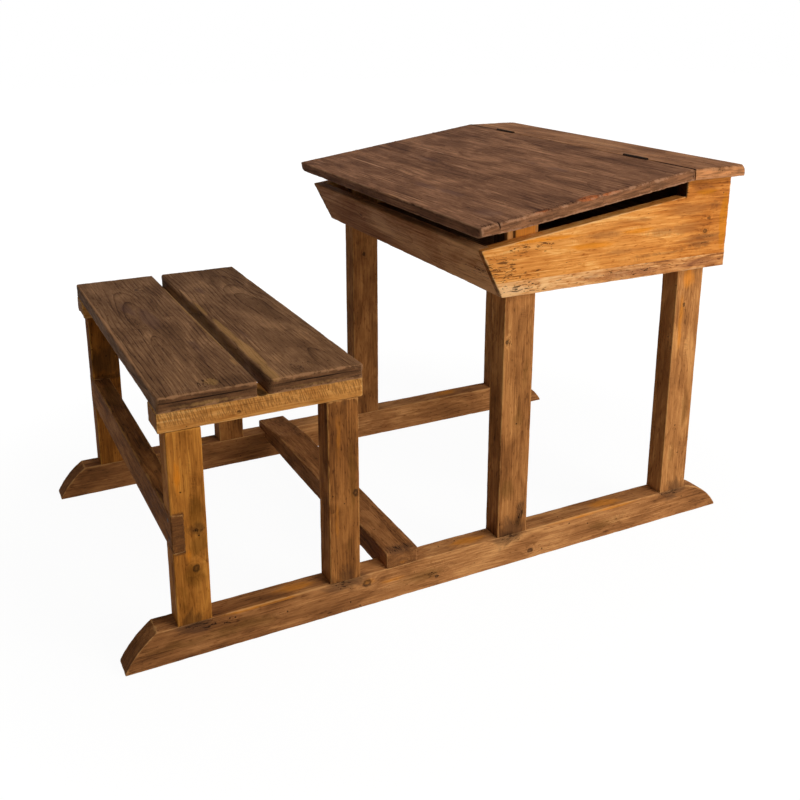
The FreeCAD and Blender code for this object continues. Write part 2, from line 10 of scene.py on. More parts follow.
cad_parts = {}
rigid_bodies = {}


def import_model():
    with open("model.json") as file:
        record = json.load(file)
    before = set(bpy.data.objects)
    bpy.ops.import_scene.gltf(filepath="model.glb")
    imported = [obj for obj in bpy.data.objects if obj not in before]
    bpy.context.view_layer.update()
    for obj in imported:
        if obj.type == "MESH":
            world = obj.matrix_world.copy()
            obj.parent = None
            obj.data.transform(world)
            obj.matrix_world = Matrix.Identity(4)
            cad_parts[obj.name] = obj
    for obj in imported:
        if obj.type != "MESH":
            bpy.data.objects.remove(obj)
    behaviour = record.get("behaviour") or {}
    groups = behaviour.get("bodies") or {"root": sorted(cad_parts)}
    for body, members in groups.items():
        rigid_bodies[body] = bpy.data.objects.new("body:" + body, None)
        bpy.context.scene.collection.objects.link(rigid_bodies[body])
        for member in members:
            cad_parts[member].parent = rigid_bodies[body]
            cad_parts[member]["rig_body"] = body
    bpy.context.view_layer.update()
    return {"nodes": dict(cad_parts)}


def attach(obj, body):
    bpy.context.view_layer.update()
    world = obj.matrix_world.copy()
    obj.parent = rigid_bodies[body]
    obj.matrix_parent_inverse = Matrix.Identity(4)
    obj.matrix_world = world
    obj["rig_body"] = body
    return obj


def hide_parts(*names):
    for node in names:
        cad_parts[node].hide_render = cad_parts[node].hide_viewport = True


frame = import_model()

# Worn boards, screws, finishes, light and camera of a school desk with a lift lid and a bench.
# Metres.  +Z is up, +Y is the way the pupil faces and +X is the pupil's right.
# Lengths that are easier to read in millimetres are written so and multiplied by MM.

MM = 0.001
X_AXIS, Y_AXIS, Z_AXIS = (1.0, 0.0, 0.0), (0.0, 1.0, 0.0), (0.0, 0.0, 1.0)

# ---------------------------------------------------------------- node trees


class Value:
    """An output of a node, which can stand in a formula."""

    def __init__(self, tree, socket):
        self.tree, self.socket = tree, socket

    def __add__(self, other):
        return self.tree.math("ADD", self, other)

    def __sub__(self, other):
        return self.tree.math("SUBTRACT", self, other)

    def __rsub__(self, other):
        return self.tree.math("SUBTRACT", other, self)

    def __mul__(self, other):
        return self.tree.math("MULTIPLY", self, other)

    def __truediv__(self, other):
        return self.tree.math("DIVIDE", self, other)

    def __rtruediv__(self, other):
        return self.tree.math("DIVIDE", other, self)

    def __pow__(self, other):
        return self.tree.math("POWER", self, other)

    __radd__, __rmul__ = __add__, __mul__


class Node:
    """A node.  Reading node[name or number] gives an output, and writing to it sets an input."""

    def __init__(self, tree, node):
        self.tree, self.node = tree, node

    def __getitem__(self, key):
        return Value(self.tree, self.node.outputs[key])

    def __setitem__(self, key, value):
        if isinstance(value, Value):
            self.tree.data.links.new(value.socket, self.node.inputs[key])
        else:
            self.node.inputs[key].default_value = value


class Tree:
    """A node tree of either kind, with short calls for the nodes that recur."""

    def __init__(self, data):
        self.data = data
        self.placed = 0

    def add(self, kind, settings=None, inputs=None):
        node = self.data.nodes.new(kind)
        node.location = (220 * (self.placed % 9), -260 * (self.placed // 9))
        self.placed += 1
        for key, value in (settings or {}).items():
            setattr(node, key, value)
        added = Node(self, node)
        for key, value in (inputs or {}).items():
            added[key] = value
        return added

    def math(self, operation, first, second=0.0):
        return self.add("ShaderNodeMath", {"operation": operation}, {0: first, 1: second})[0]

    def parts(self, vector):
        node = self.add("ShaderNodeSeparateXYZ", None, {0: vector})
        return node[0], node[1], node[2]

    def axes(self, x, y, z):
        return self.add("ShaderNodeCombineXYZ", None, {0: x, 1: y, 2: z})[0]

    def stretched(self, vector, factors):
        inputs = {0: vector, 1: factors}
        return self.add("ShaderNodeVectorMath", {"operation": "MULTIPLY"}, inputs)["Vector"]

    def scaled(self, vector, factor):
        inputs = {0: vector, "Scale": factor}
        return self.add("ShaderNodeVectorMath", {"operation": "SCALE"}, inputs)["Vector"]

    def span(self, value, low, high, to_low=0.0, to_high=1.0):
        """Smooth step of a value between two others."""
        settings = {"interpolation_type": "SMOOTHSTEP"}
        inputs = {0: value, 1: low, 2: high, 3: to_low, 4: to_high}
        return self.add("ShaderNodeMapRange", settings, inputs)[0]

    def noise(self, vector, detail=2.0, roughness=0.5, distortion=0.0):
        inputs = {
            "Vector": vector, "Scale": 1.0, "Detail": detail,
            "Roughness": roughness, "Distortion": distortion,
        }
        return self.add("ShaderNodeTexNoise", None, inputs)[0]

    def drawn_noise(self, vector, along, across, detail=2.0, roughness=0.5, distortion=0.0):
        """Noise drawn out along the grain: blotches in a metre along and across it."""
        return self.noise(self.stretched(vector, (along, across, across)), detail, roughness, distortion)

    def mix(self, share, first, second, blend="MIX"):
        settings = {"data_type": "RGBA", "blend_type": blend, "clamp_factor": True}
        return self.add("ShaderNodeMix", settings, {0: share, 6: first, 7: second})[2]

    def attribute(self, name, output):
        return self.add("ShaderNodeAttribute", {"attribute_name": name})[output]

    def named(self, label, kind):
        inputs = {"Name": label}
        return self.add("GeometryNodeInputNamedAttribute", {"data_type": kind}, inputs)["Attribute"]


def new_group(name, kind, inputs, outputs):
    """Node group with named sockets: (name, socket type, default) in, (name, socket type) out."""
    group = bpy.data.node_groups.new(name, kind)
    for label, socket_type, default in inputs:
        socket = group.interface.new_socket(label, in_out="INPUT", socket_type=socket_type)
        if default is not None:
            socket.default_value = default
    for label, socket_type in outputs:
        group.interface.new_socket(label, in_out="OUTPUT", socket_type=socket_type)
    tree = Tree(group)
    return tree, tree.add("NodeGroupInput"), tree.add("NodeGroupOutput")


def cleared_tree(owner):
    """Empty node tree of a new material or world."""
    owner.use_nodes = True
    owner.node_tree.nodes.clear()
    return Tree(owner.node_tree)


FLOAT, VECTOR = "NodeSocketFloat", "NodeSocketVector"
GEOMETRY, MATERIAL = "NodeSocketGeometry", "NodeSocketMaterial"
NO_KNOT = 12.0                             # distance that stands for no knot near, in knot radii


def make_figure_group():
    """Figure of sawn timber: growth rings round a log's heart, long streaks, fibres, clouds, flecks."""
    tree, given, out = new_group(
        "timber figure", "ShaderNodeTree",
        [
            ("Grain", VECTOR, None), ("Knot", FLOAT, NO_KNOT), ("Board Tone", FLOAT, 0.5),
            ("Ring Width", FLOAT, 0.009), ("Ring Share", FLOAT, 0.3),
            ("Streak Width", FLOAT, 0.007), ("Streak Length", FLOAT, 0.2), ("Streak Share", FLOAT, 0.4),
            ("Cloud Width", FLOAT, 0.06), ("Cloud Share", FLOAT, 0.4),
            ("Fibre Share", FLOAT, 0.15), ("Fleck Share", FLOAT, 0.2),
        ],
        [("Tone", FLOAT), ("Relief", FLOAT)],
    )
    grain = given["Grain"]
    along, across, through = tree.parts(grain)
    wander = (tree.drawn_noise(grain, 2.6, 9.0) - 0.5) * 0.04
    swirl = tree.span(given["Knot"], 0.0, 5.0, 1.0, 0.0) ** 2.0
    bend = tree.math("SINE", along * 3.4) * 0.02
    radius = (across ** 2.0 + (through + bend) ** 2.0) ** 0.5 + wander + swirl * 0.022
    late = 1.0 - tree.math("FRACT", radius / given["Ring Width"]) ** 5.0
    present = tree.span(tree.drawn_noise(grain, 3.0, 14.0), 0.38, 0.62)
    ring = (late - 0.83) * present
    streak_at = tree.axes(along / given["Streak Length"], (across + swirl * 0.02) / given["Streak Width"],
                          through / given["Streak Width"])
    streak = tree.span(tree.noise(streak_at, 4.0, 0.62, 0.5), 0.32, 0.68)
    plain = tree.span(tree.drawn_noise(grain, 5.0, 26.0), 0.4, 0.62, 0.2, 1.3)
    streak = (streak - 0.5) * plain + 0.5
    fibre = tree.span(tree.drawn_noise(grain, 20.0, 430.0, 2.0, 0.6), 0.25, 0.75)
    cloud_at = tree.scaled(tree.stretched(grain, (0.34, 1.0, 1.0)), 1.0 / given["Cloud Width"])
    cloud = tree.span(tree.noise(cloud_at, 4.0, 0.58, 0.6), 0.3, 0.7)
    fleck = tree.span(tree.drawn_noise(grain, 75.0, 300.0, 1.0), 0.6, 0.74)
    tone = given["Board Tone"] + ring * given["Ring Share"]
    for layer, share in ((streak, "Streak Share"), (cloud, "Cloud Share"), (fibre, "Fibre Share")):
        tone = tone + (layer - 0.5) * given[share]
    tone = tone - fleck * given["Fleck Share"]
    out["Tone"] = tree.math("MAXIMUM", tree.math("MINIMUM", tone, 1.0), 0.0)
    out["Relief"] = fibre * 0.5 + streak * 0.35 + late * 0.25 - fleck * 0.3
    return tree.data


def make_wear_group():
    """Where an arris has been rubbed: a ragged band along every edge."""
    tree, given, out = new_group(
        "arris wear", "ShaderNodeTree",
        [("Place", VECTOR, None), ("Edge", FLOAT, 1.0), ("Width", FLOAT, 0.004)],
        [("Wear", FLOAT)],
    )
    rag = tree.drawn_noise(given["Place"], 22.0, 60.0, 4.0, 0.65)
    reach = given["Width"] * tree.span(rag, 0.34, 0.72, 0.3, 1.9)
    out["Wear"] = tree.span(given["Edge"] / reach, 0.3, 1.0, 1.0, 0.0)
    return tree.data


def make_bare_group():
    """Ragged patches where the finish has gone and lighter wood shows, round the places marked bare. At the
    front desk legs' tops they are painted light, and as pale marks along the rear seat plank's rear arris a
    painted highlight.
    """
    tree, given, out = new_group(
        "bare patches", "ShaderNodeTree", [("Place", VECTOR, None), ("Bare", FLOAT, 0.0)],
        [("Patch", FLOAT)],
    )
    rag = tree.drawn_noise(given["Place"], 18.0, 90.0, 4.0, 0.65)
    field = given["Bare"] + (rag - 0.5)
    out["Patch"] = tree.span(field, 0.22, 0.6) * tree.span(given["Bare"], 0.0, 0.5)
    return tree.data


def make_saw_group():
    """Slanting ticks that a coarse saw left across the grain, round the places marked sawn."""
    tree, given, out = new_group(
        "saw marks", "ShaderNodeTree",
        [("Grain", VECTOR, None), ("Sawn", FLOAT, 0.0), ("Spacing", FLOAT, 0.0021)], [("Tick", FLOAT)],
    )
    along, across, through = tree.parts(given["Grain"])
    at = tree.axes((along + across * 0.3) / given["Spacing"], across * 70.0, through * 70.0)
    tick = tree.span(tree.noise(at, 1.0), 0.44, 0.6)
    patchy = tree.drawn_noise(given["Grain"], 16.0, 60.0)
    out["Tick"] = tick * tree.span(given["Sawn"] + (patchy - 0.5), 0.0, 0.5)
    return tree.data


def make_crack_group():
    """Drying cracks that follow the grain, and worm holes, mostly where a board is marked as poor."""
    tree, given, out = new_group(
        "cracks and worm holes", "ShaderNodeTree",
        [
            ("Grain", VECTOR, None), ("Poor", FLOAT, 0.0),
            ("Crack Share", FLOAT, 0.3), ("Hole Share", FLOAT, 0.05),
        ],
        [("Crack", FLOAT), ("Hole", FLOAT)],
    )
    grain, poor = given["Grain"], given["Poor"]
    field = tree.drawn_noise(grain, 10.0, 58.0, 2.0, 0.6, 0.7)
    fold = tree.math("ABSOLUTE", tree.math("FRACT", field * 5.0) - 0.5)
    line = tree.span(fold / (poor * 0.07 + 0.05), 0.4, 1.0, 1.0, 0.0)
    patch = tree.drawn_noise(grain, 20.0, 46.0, 2.0, 0.6) + poor * 0.2
    limit = 0.86 - given["Crack Share"] * 0.4
    gate = tree.span(patch, limit, limit + 0.06)
    short = 0.69 - tree.span(poor, 0.0, 0.8) * 0.16
    dash = tree.span(tree.drawn_noise(grain, 60.0, 300.0, 3.0, 0.66, 0.9), short, short + 0.05)
    out["Crack"] = tree.math("MAXIMUM", line * gate, dash * tree.span(poor, 0.05, 0.3))
    cells = tree.add("ShaderNodeTexVoronoi", None, {"Vector": grain, "Scale": 110.0})
    dot = tree.span(cells["Distance"], 0.1, 0.24, 1.0, 0.0)
    chance = tree.add("ShaderNodeSeparateColor", None, {0: cells["Color"]})[0] + poor * 0.3
    out["Hole"] = dot * tree.math("GREATER_THAN", chance, 1.0 - given["Hole Share"])
    return tree.data


def make_grime_group():
    """Old wax, dirt or stain in blotches, thicker at the places marked for it. At a few of these places the
    blotches are painted shade.
    """
    tree, given, out = new_group(
        "wax and grime", "ShaderNodeTree",
        [("Place", VECTOR, None), ("Smear", FLOAT, 0.0), ("Amount", FLOAT, 0.3), ("Size", FLOAT, 0.03)],
        [("Grime", FLOAT)],
    )
    at = tree.scaled(tree.stretched(given["Place"], (0.5, 1.0, 1.0)), 1.0 / given["Size"])
    blotch = tree.noise(at, 5.0, 0.68, 0.8) + given["Smear"] * 0.46
    limit = 0.75 - given["Amount"] * 0.3
    out["Grime"] = tree.span(blotch, limit, limit + 0.26)
    return tree.data


figure_group = make_figure_group()
wear_group = make_wear_group()
crack_group = make_crack_group()
grime_group = make_grime_group()
bare_group = make_bare_group()
saw_group = make_saw_group()


# ---------------------------------------------------------------- finishes

# What places on a board can be marked with, from 0 to 1. Some smear and packed-dirt marks are painted
# shade, and some bare and pale marks are painted light.
MARKS = ("smear", "poor", "bare", "pale", "packed", "shade", "sawn")


def stain(red, green, blue):
    """Linear colour of an 8-bit one."""
    linear = []
    for part in (red, green, blue):
        part /= 255.0
        linear.append(part / 12.92 if part <= 0.04045 else ((part + 0.055) / 1.055) ** 2.4)
    return (*linear, 1.0)


def new_finish(name):
    material = bpy.data.materials.new(name)
    tree = cleared_tree(material)
    shader = tree.add("ShaderNodeBsdfPrincipled")
    tree.add("ShaderNodeOutputMaterial")[0] = shader[0]
    return material, tree, shader


def dimmed(colour, share):
    return stain(*[part * share for part in colour])


def colour_ramp(tree, value, stops):
    ramp = tree.add("ShaderNodeValToRGB", None, {0: value})
    elements = ramp.node.color_ramp.elements
    while len(elements) < len(stops):
        elements.new(0.5)
    for element, (place, colour) in zip(elements, stops):
        element.position = place
        element.color = stain(*colour)
    return ramp[0]


def put_relief(tree, shader, height, strength, distance):
    inputs = {"Strength": strength, "Distance": distance, "Height": height}
    shader["Normal"] = tree.add("ShaderNodeBump", None, inputs)[0]


def timber(name, stops, worn, dirt, end_grain, bare, tint, figure, wear_width, crack_share, hole_share,
           grime_amount, grime_size=0.03, rough=(0.56, 0.76), carried=False, depth=0.38):
    """Waxed old timber.  Boards carry their own attributes; carried solids use object space.

    depth is how light the cracks and holes stay, as a share of the dirt's colour.
    """
    material, tree, shader = new_finish(name)
    if carried:
        grain = place = tree.add("ShaderNodeTexCoord")["Object"]
        mark = dict.fromkeys(MARKS, 0.0)
        mark.update(edge=1.0, end=0.0, knot=NO_KNOT, tone=0.5, warm=0.0)
    else:
        mark = {label: tree.attribute(label, "Fac")
                for label in (*MARKS, "edge", "end", "knot", "tone", "warm")}
        grain, place = tree.attribute("grain", "Vector"), tree.attribute("place", "Vector")

    def effect(group, **inputs):
        named = {key.replace("_", " ").title(): value for key, value in inputs.items()}
        return tree.add("ShaderNodeGroup", {"node_tree": group}, named)

    def shaded(share, colour, target, strength):
        return tree.mix(share * strength, colour, target)

    drawn = effect(figure_group, grain=grain, knot=mark["knot"], board_tone=mark["tone"], **figure)
    tone = drawn["Tone"]
    flaws = effect(crack_group, grain=grain, poor=mark["poor"], crack_share=crack_share,
                   hole_share=hole_share)
    # Smear marks: dirt, and at a few places painted shade inside the box and along the lid's hinge joint.
    grime_and_shade = effect(grime_group, place=place, smear=mark["smear"], amount=grime_amount, size=grime_size)[0]
    stained = effect(grime_group, place=place, smear=mark["shade"], amount=0.4, size=0.05)[0]
    patch = effect(bare_group, place=place, bare=mark["bare"])[0]
    # Pale marks: faded finish, and along the rear seat plank's rear arris a painted highlight.
    faded_and_highlight = effect(bare_group, place=place, bare=mark["pale"])[0]
    # Packed-dirt marks: dirt in joints, and painted shade in gaps and recesses that the light doesn't
    # reach.
    packed = tree.span(mark["packed"], 0.15, 0.6)
    tick = effect(saw_group, grain=grain, sawn=mark["sawn"])[0]
    rubbed = effect(wear_group, place=place, edge=mark["edge"], width=wear_width)[0]
    _, across, through = tree.parts(grain)
    end_lines = tree.noise(tree.axes(0.0, across * 22.0, through * 260.0), 3.0, 0.6)
    end_colour = tree.mix(tree.span(end_lines, 0.35, 0.65), dimmed(end_grain, 0.66), stain(*end_grain))
    colour = colour_ramp(tree, tone, stops)
    colour = shaded(stained, colour, stain(*tint), 0.5)
    colour = shaded(grime_and_shade, colour, stain(*dirt), 0.62)
    colour = shaded(mark["end"], colour, end_colour, 0.85)
    # Bare patches: worn-through finish, and painted light at the front desk legs' tops.
    colour = shaded(patch, colour, tree.mix(tone, dimmed(bare, 0.72), stain(*bare)), 0.85)
    colour = shaded(faded_and_highlight, colour, stain(*worn), 0.8)
    ring = mark["knot"] - 0.55 + tree.noise(tree.scaled(place, 210.0), 3.0, 0.65) * 1.1
    knot = tree.math("MINIMUM", tree.span(ring, 0.3, 0.8, 0.6, 1.0), tree.span(ring, 0.85, 1.5, 1.0, 0.0))
    colour = shaded(knot, colour, dimmed(dirt, 0.7), 0.8)
    colour = shaded(tick, colour, stain(*dirt), 0.5)
    colour = shaded(rubbed * tree.span(grime_and_shade, 0.0, 1.0, 1.0, 0.3), colour, stain(*worn), 0.6)
    flaw = tree.math("MAXIMUM", flaws["Crack"], flaws["Hole"])
    colour = shaded(flaw, colour, dimmed(dirt, depth), 0.84)
    # Near-black colour of the packed-dirt marks: packed dirt in joints, and painted shade.
    colour = shaded(packed, colour, dimmed(dirt, 0.3), 0.88)
    flaw = tree.math("MAXIMUM", flaw, packed)
    shader["Base Color"] = tree.mix(mark["warm"], colour, (1.0, 0.86, 0.42, 1.0), "MULTIPLY")
    shader["Roughness"] = tree.span(tone, 0.0, 1.0, rough[1], rough[0]) + flaw * 0.2
    shader["Specular IOR Level"] = 0.025
    put_relief(tree, shader, drawn["Relief"] - flaw * 1.6 - tick * 0.5, 0.6, 0.0008)
    return material


def steel(name, dark, light, rust, rust_share, metallic, rough, shine):
    """Old iron: patches of rust over a rubbed skin, with fine scratches."""
    material, tree, shader = new_finish(name)
    place = tree.add("ShaderNodeTexCoord")["Object"]
    skin = tree.noise(tree.scaled(place, 180.0), 4.0, 0.6)
    scratch = tree.drawn_noise(place, 90.0, 1400.0)
    rusty = tree.span(tree.noise(tree.scaled(place, 320.0), 5.0, 0.7, 0.5),
                      0.75 - rust_share, 0.85 - rust_share)
    colour = tree.mix(tree.span(skin, 0.3, 0.7), stain(*dark), stain(*light))
    colour = tree.mix(tree.span(scratch, 0.6, 0.75) * 0.4, colour, stain(*light))
    shader["Base Color"] = tree.mix(rusty, colour, stain(*rust))
    shader["Metallic"] = tree.span(rusty, 0.0, 1.0, metallic, 0.1)
    shader["Roughness"] = tree.span(skin, 0.3, 0.7, rough, rough + 0.2) + rusty * 0.2
    shader["Specular IOR Level"] = shine
    put_relief(tree, shader, skin - scratch * 0.5, 0.4, 0.0003)
    return material


def figure(ring=0.009, ring_share=0.3, streak=0.007, length=0.2, streak_share=0.5,
           cloud=0.06, cloud_share=0.5, fibre_share=0.2, fleck_share=0.2):
    return {
        "ring_width": ring, "ring_share": ring_share, "streak_width": streak, "streak_length": length,
        "streak_share": streak_share, "cloud_width": cloud, "cloud_share": cloud_share,
        "fibre_share": fibre_share, "fleck_share": fleck_share,
    }


finishes = {
    "frame_wood": timber(
        "waxed amber frame",
        [(0.0, (84, 50, 28)), (0.35, (140, 90, 50)), (0.65, (178, 120, 70)), (1.0, (220, 160, 98))],
        worn=(208, 152, 94), dirt=(80, 54, 38), end_grain=(138, 88, 50), bare=(230, 144, 54),
        tint=(104, 70, 30),
        figure=figure(
            ring=0.011, ring_share=0.2, streak=0.0035, length=0.09, streak_share=0.2, cloud=0.035,
            cloud_share=0.4, fibre_share=0.22, fleck_share=0.22),
        wear_width=0.0028, crack_share=0.32, hole_share=0.03, grime_amount=0.3),
    "bearer_wood": timber(
        "sawn amber bearer",
        [(0.0, (124, 72, 30)), (0.35, (176, 114, 54)), (0.65, (204, 142, 74)), (1.0, (230, 178, 108))],
        worn=(222, 170, 104), dirt=(96, 58, 30), end_grain=(140, 88, 46), bare=(222, 160, 84),
        tint=(136, 92, 38),
        figure=figure(
            ring=0.010, ring_share=0.2, streak=0.006, length=0.16, streak_share=0.24, cloud=0.05,
            cloud_share=0.34, fibre_share=0.24, fleck_share=0.1),
        wear_width=0.0026, crack_share=0.2, hole_share=0.02, grime_amount=0.2),
    "panel_wood": timber(
        "honey side panel",
        [(0.0, (132, 72, 30)), (0.3, (188, 112, 46)), (0.65, (222, 148, 72)), (1.0, (248, 194, 118))],
        worn=(234, 184, 122), dirt=(112, 66, 36), end_grain=(160, 98, 52), bare=(236, 142, 36),
        tint=(140, 84, 44),
        figure=figure(
            ring=0.014, ring_share=0.2, streak=0.005, length=0.12, streak_share=0.28, cloud=0.04,
            cloud_share=0.3, fibre_share=0.3, fleck_share=0.26),
        wear_width=0.003, crack_share=0.34, hole_share=0.02, grime_amount=0.2, grime_size=0.02,
        depth=0.85),
    "strip_wood": timber(
        "rosy bottom strip",
        [(0.0, (120, 70, 38)), (0.35, (178, 114, 62)), (0.65, (212, 148, 88)), (1.0, (238, 188, 128))],
        worn=(226, 176, 124), dirt=(104, 64, 42), end_grain=(150, 94, 56), bare=(226, 156, 84),
        tint=(142, 90, 62),
        figure=figure(
            ring=0.010, ring_share=0.16, streak=0.004, length=0.06, streak_share=0.4, cloud=0.02,
            cloud_share=0.36, fibre_share=0.3, fleck_share=0.4),
        wear_width=0.003, crack_share=0.3, hole_share=0.08, grime_amount=0.3, grime_size=0.01),
    "front_wood": timber(
        "leaning front board",
        [(0.0, (84, 46, 24)), (0.35, (134, 82, 44)), (0.65, (164, 108, 64)), (1.0, (214, 156, 104))],
        worn=(190, 136, 88), dirt=(64, 38, 22), end_grain=(120, 74, 44), bare=(190, 124, 60),
        tint=(96, 62, 34),
        figure=figure(
            ring=0.012, ring_share=0.2, streak=0.007, length=0.3, streak_share=0.34, cloud=0.08,
            cloud_share=0.42, fibre_share=0.24, fleck_share=0.2),
        wear_width=0.0028, crack_share=0.24, hole_share=0.03, grime_amount=0.25),
    "lid_wood": timber(
        "chocolate lid",
        [(0.0, (64, 41, 31)), (0.35, (106, 71, 50)), (0.65, (136, 93, 65)), (1.0, (184, 132, 92))],
        worn=(184, 136, 102), dirt=(70, 48, 42), end_grain=(152, 102, 68), bare=(190, 104, 56),
        tint=(92, 64, 54),
        figure=figure(
            ring=0.011, ring_share=0.24, streak=0.0035, length=0.16, streak_share=0.4, cloud=0.05,
            cloud_share=0.4, fibre_share=0.28, fleck_share=0.2),
        wear_width=0.0035, crack_share=0.34, hole_share=0.03, grime_amount=0.3, grime_size=0.035,
        rough=(0.58, 0.78)),
    "rail_wood": timber(
        "chocolate hinge rail",
        [(0.0, (72, 46, 32)), (0.35, (116, 76, 50)), (0.65, (148, 101, 66)), (1.0, (190, 138, 92))],
        worn=(184, 130, 88), dirt=(70, 46, 36), end_grain=(212, 142, 88), bare=(190, 112, 58),
        tint=(100, 70, 56),
        figure=figure(
            ring=0.012, ring_share=0.2, streak=0.004, length=0.24, streak_share=0.4, cloud=0.06,
            cloud_share=0.36, fibre_share=0.28, fleck_share=0.2),
        wear_width=0.0035, crack_share=0.3, hole_share=0.03, grime_amount=0.25, grime_size=0.035,
        rough=(0.58, 0.78)),
    "seat_wood": timber(
        "dark bench planks",
        [(0.0, (52, 33, 22)), (0.35, (99, 68, 44)), (0.65, (128, 91, 61)), (1.0, (172, 126, 82))],
        worn=(168, 122, 84), dirt=(62, 42, 36), end_grain=(116, 78, 50), bare=(172, 126, 74),
        tint=(82, 56, 46),
        figure=figure(
            ring=0.007, ring_share=0.42, streak=0.003, length=0.18, streak_share=0.24, cloud=0.05,
            cloud_share=0.4, fibre_share=0.24, fleck_share=0.2),
        wear_width=0.0035, crack_share=0.34, hole_share=0.03, grime_amount=0.25, grime_size=0.035,
        rough=(0.58, 0.78)),
    "inner_wood": timber(
        "dry inner boards",
        [(0.0, (86, 54, 32)), (0.3, (122, 80, 50)), (0.6, (150, 104, 68)), (1.0, (184, 138, 94))],
        worn=(188, 144, 100), dirt=(62, 40, 26), end_grain=(120, 80, 48), bare=(180, 132, 84),
        tint=(104, 72, 46),
        figure=figure(
            ring=0.010, ring_share=0.3, streak=0.007, length=0.2, streak_share=0.4, cloud=0.05,
            cloud_share=0.35, fibre_share=0.25),
        wear_width=0.002, crack_share=0.2, hole_share=0.03, grime_amount=0.25, rough=(0.66, 0.84)),
    "dowel_wood": timber(
        "dry dowels",
        [(0.0, (110, 74, 44)), (0.5, (160, 116, 74)), (1.0, (196, 152, 104))],
        worn=(188, 144, 100), dirt=(62, 40, 26), end_grain=(120, 80, 48), bare=(180, 132, 84),
        tint=(104, 72, 46),
        figure=figure(
            ring=0.004, ring_share=0.3, streak=0.002, length=0.03, streak_share=0.45, cloud=0.02,
            cloud_share=0.35, fibre_share=0.25),
        wear_width=0.002, crack_share=0.1, hole_share=0.0, grime_amount=0.2, rough=(0.66, 0.84),
        carried=True),
    "blackened_steel": steel(
        "blackened hinge steel", dark=(20, 12, 6), light=(48, 30, 16), rust=(66, 36, 16),
        rust_share=0.1, metallic=0.1, rough=0.7, shine=0.1),
    "screw_steel": steel(
        "dull screw steel", dark=(40, 32, 26), light=(74, 60, 48), rust=(78, 46, 28), rust_share=0.2,
        metallic=0.5, rough=0.55, shine=0.3),
}


# ---------------------------------------------------------------- worn boards

SHARP_TURN = math.radians(20)              # a section's corner turns more than this, a curve's point less
CUT_TURN = math.radians(38)                # edges that a cutter leaves stay sharp above this
ARRIS_ANGLES = (0, 30, 60)                 # rings round an end face, in degrees round its arris
PARALLEL = 0.05                            # sine of the angle between edges that count as one line
ROW_STEP, EDGE_MARGIN = 0.9, 0.55          # grid over an end face, in cells
WELD, FLAT = 1e-6, 1e-5                    # lengths that count as none, metres


def turn_between(back, ahead):
    """Angles from one set of plane directions to another, anticlockwise."""
    return np.arctan2(back[:, 0] * ahead[:, 1] - back[:, 1] * ahead[:, 0], (back * ahead).sum(1))


def section_points(corners, arris, end_arris, spacing):
    """Samples round a section that runs anticlockwise seen from +X.

    arris is the rounding at each corner and end_arris the rounding of the end face along each edge.
    Gives the section's points, the same points drawn in for the end face, the end rounding at each,
    and a number shared by samples that meet at one point of the end face.
    """
    count = len(corners)
    ahead = np.roll(corners, -1, 0) - corners
    length = np.linalg.norm(ahead, axis=1)
    along = ahead / length[:, None]
    outward = np.stack([along[:, 1], -along[:, 0]], 1)
    before, back = np.roll(outward, 1, 0), np.roll(along, 1, 0)
    mitre = (before + outward) / (1 + (before * outward).sum(1))[:, None]
    turn = turn_between(back, along)
    end_before = np.roll(end_arris, 1)
    drawn = np.zeros_like(corners)
    for i in range(count):
        lines = np.array([before[i], outward[i]])
        if abs(np.linalg.det(lines)) < PARALLEL:
            drawn[i] = corners[i] - mitre[i] * (end_before[i] + end_arris[i]) / 2
        else:
            drawn[i] = corners[i] + np.linalg.solve(lines, [-end_before[i], -end_arris[i]])
    rounded = (turn > SHARP_TURN) & (arris > 0)
    arris = np.where(rounded, arris, 0.0)
    setback = arris * np.tan(np.abs(turn) / 2)
    walls, ends, ring, shared = [], [], [], []

    def put(wall, end, radius, fresh=True):
        walls.append(wall)
        ends.append(end)
        ring.append(radius)
        shared.append(shared[-1] + int(fresh) if shared else 0)

    for i in range(count):
        pieces = (4 if arris[i] > 2 * MM else 2) if rounded[i] else 0
        centre = corners[i] - mitre[i] * arris[i]
        start = math.atan2(before[i][1], before[i][0])
        for k in range(pieces + 1):
            u = k / pieces if pieces else 0.5
            angle = start + turn[i] * u
            around = arris[i] * np.array([math.cos(angle), math.sin(angle)])
            put(centre + around if pieces else corners[i], drawn[i],
                end_before[i] + (end_arris[i] - end_before[i]) * u, k == 0)
        j = (i + 1) % count
        start = corners[i] + along[i] * setback[i]
        finish = corners[j] - along[i] * setback[j]
        cell = 1 / np.hypot(along[i][0] / spacing[1], along[i][1] / spacing[2])
        steps = max(1, math.ceil(np.linalg.norm(finish - start) / cell))
        for k in range(1, steps):
            u = k / steps
            put(start + (finish - start) * u, drawn[i] + (drawn[j] - drawn[i]) * u, end_arris[i])
    return np.array(walls), np.array(ends), np.array(ring), np.array(shared)


def segment_distance(points, start, finish):
    run = finish - start
    u = np.clip(((points - start) @ run) / (run @ run), 0, 1)
    return np.linalg.norm(points - start - u[:, None] * run, axis=1)


def outline_distance(points, corners, edges):
    """Distance of points of a section from the nearest of some edges of its outline."""
    nearest = np.full(len(points), np.inf)
    for i in edges:
        finish = corners[(i + 1) % len(corners)]
        nearest = np.minimum(nearest, segment_distance(points, corners[i], finish))
    return nearest


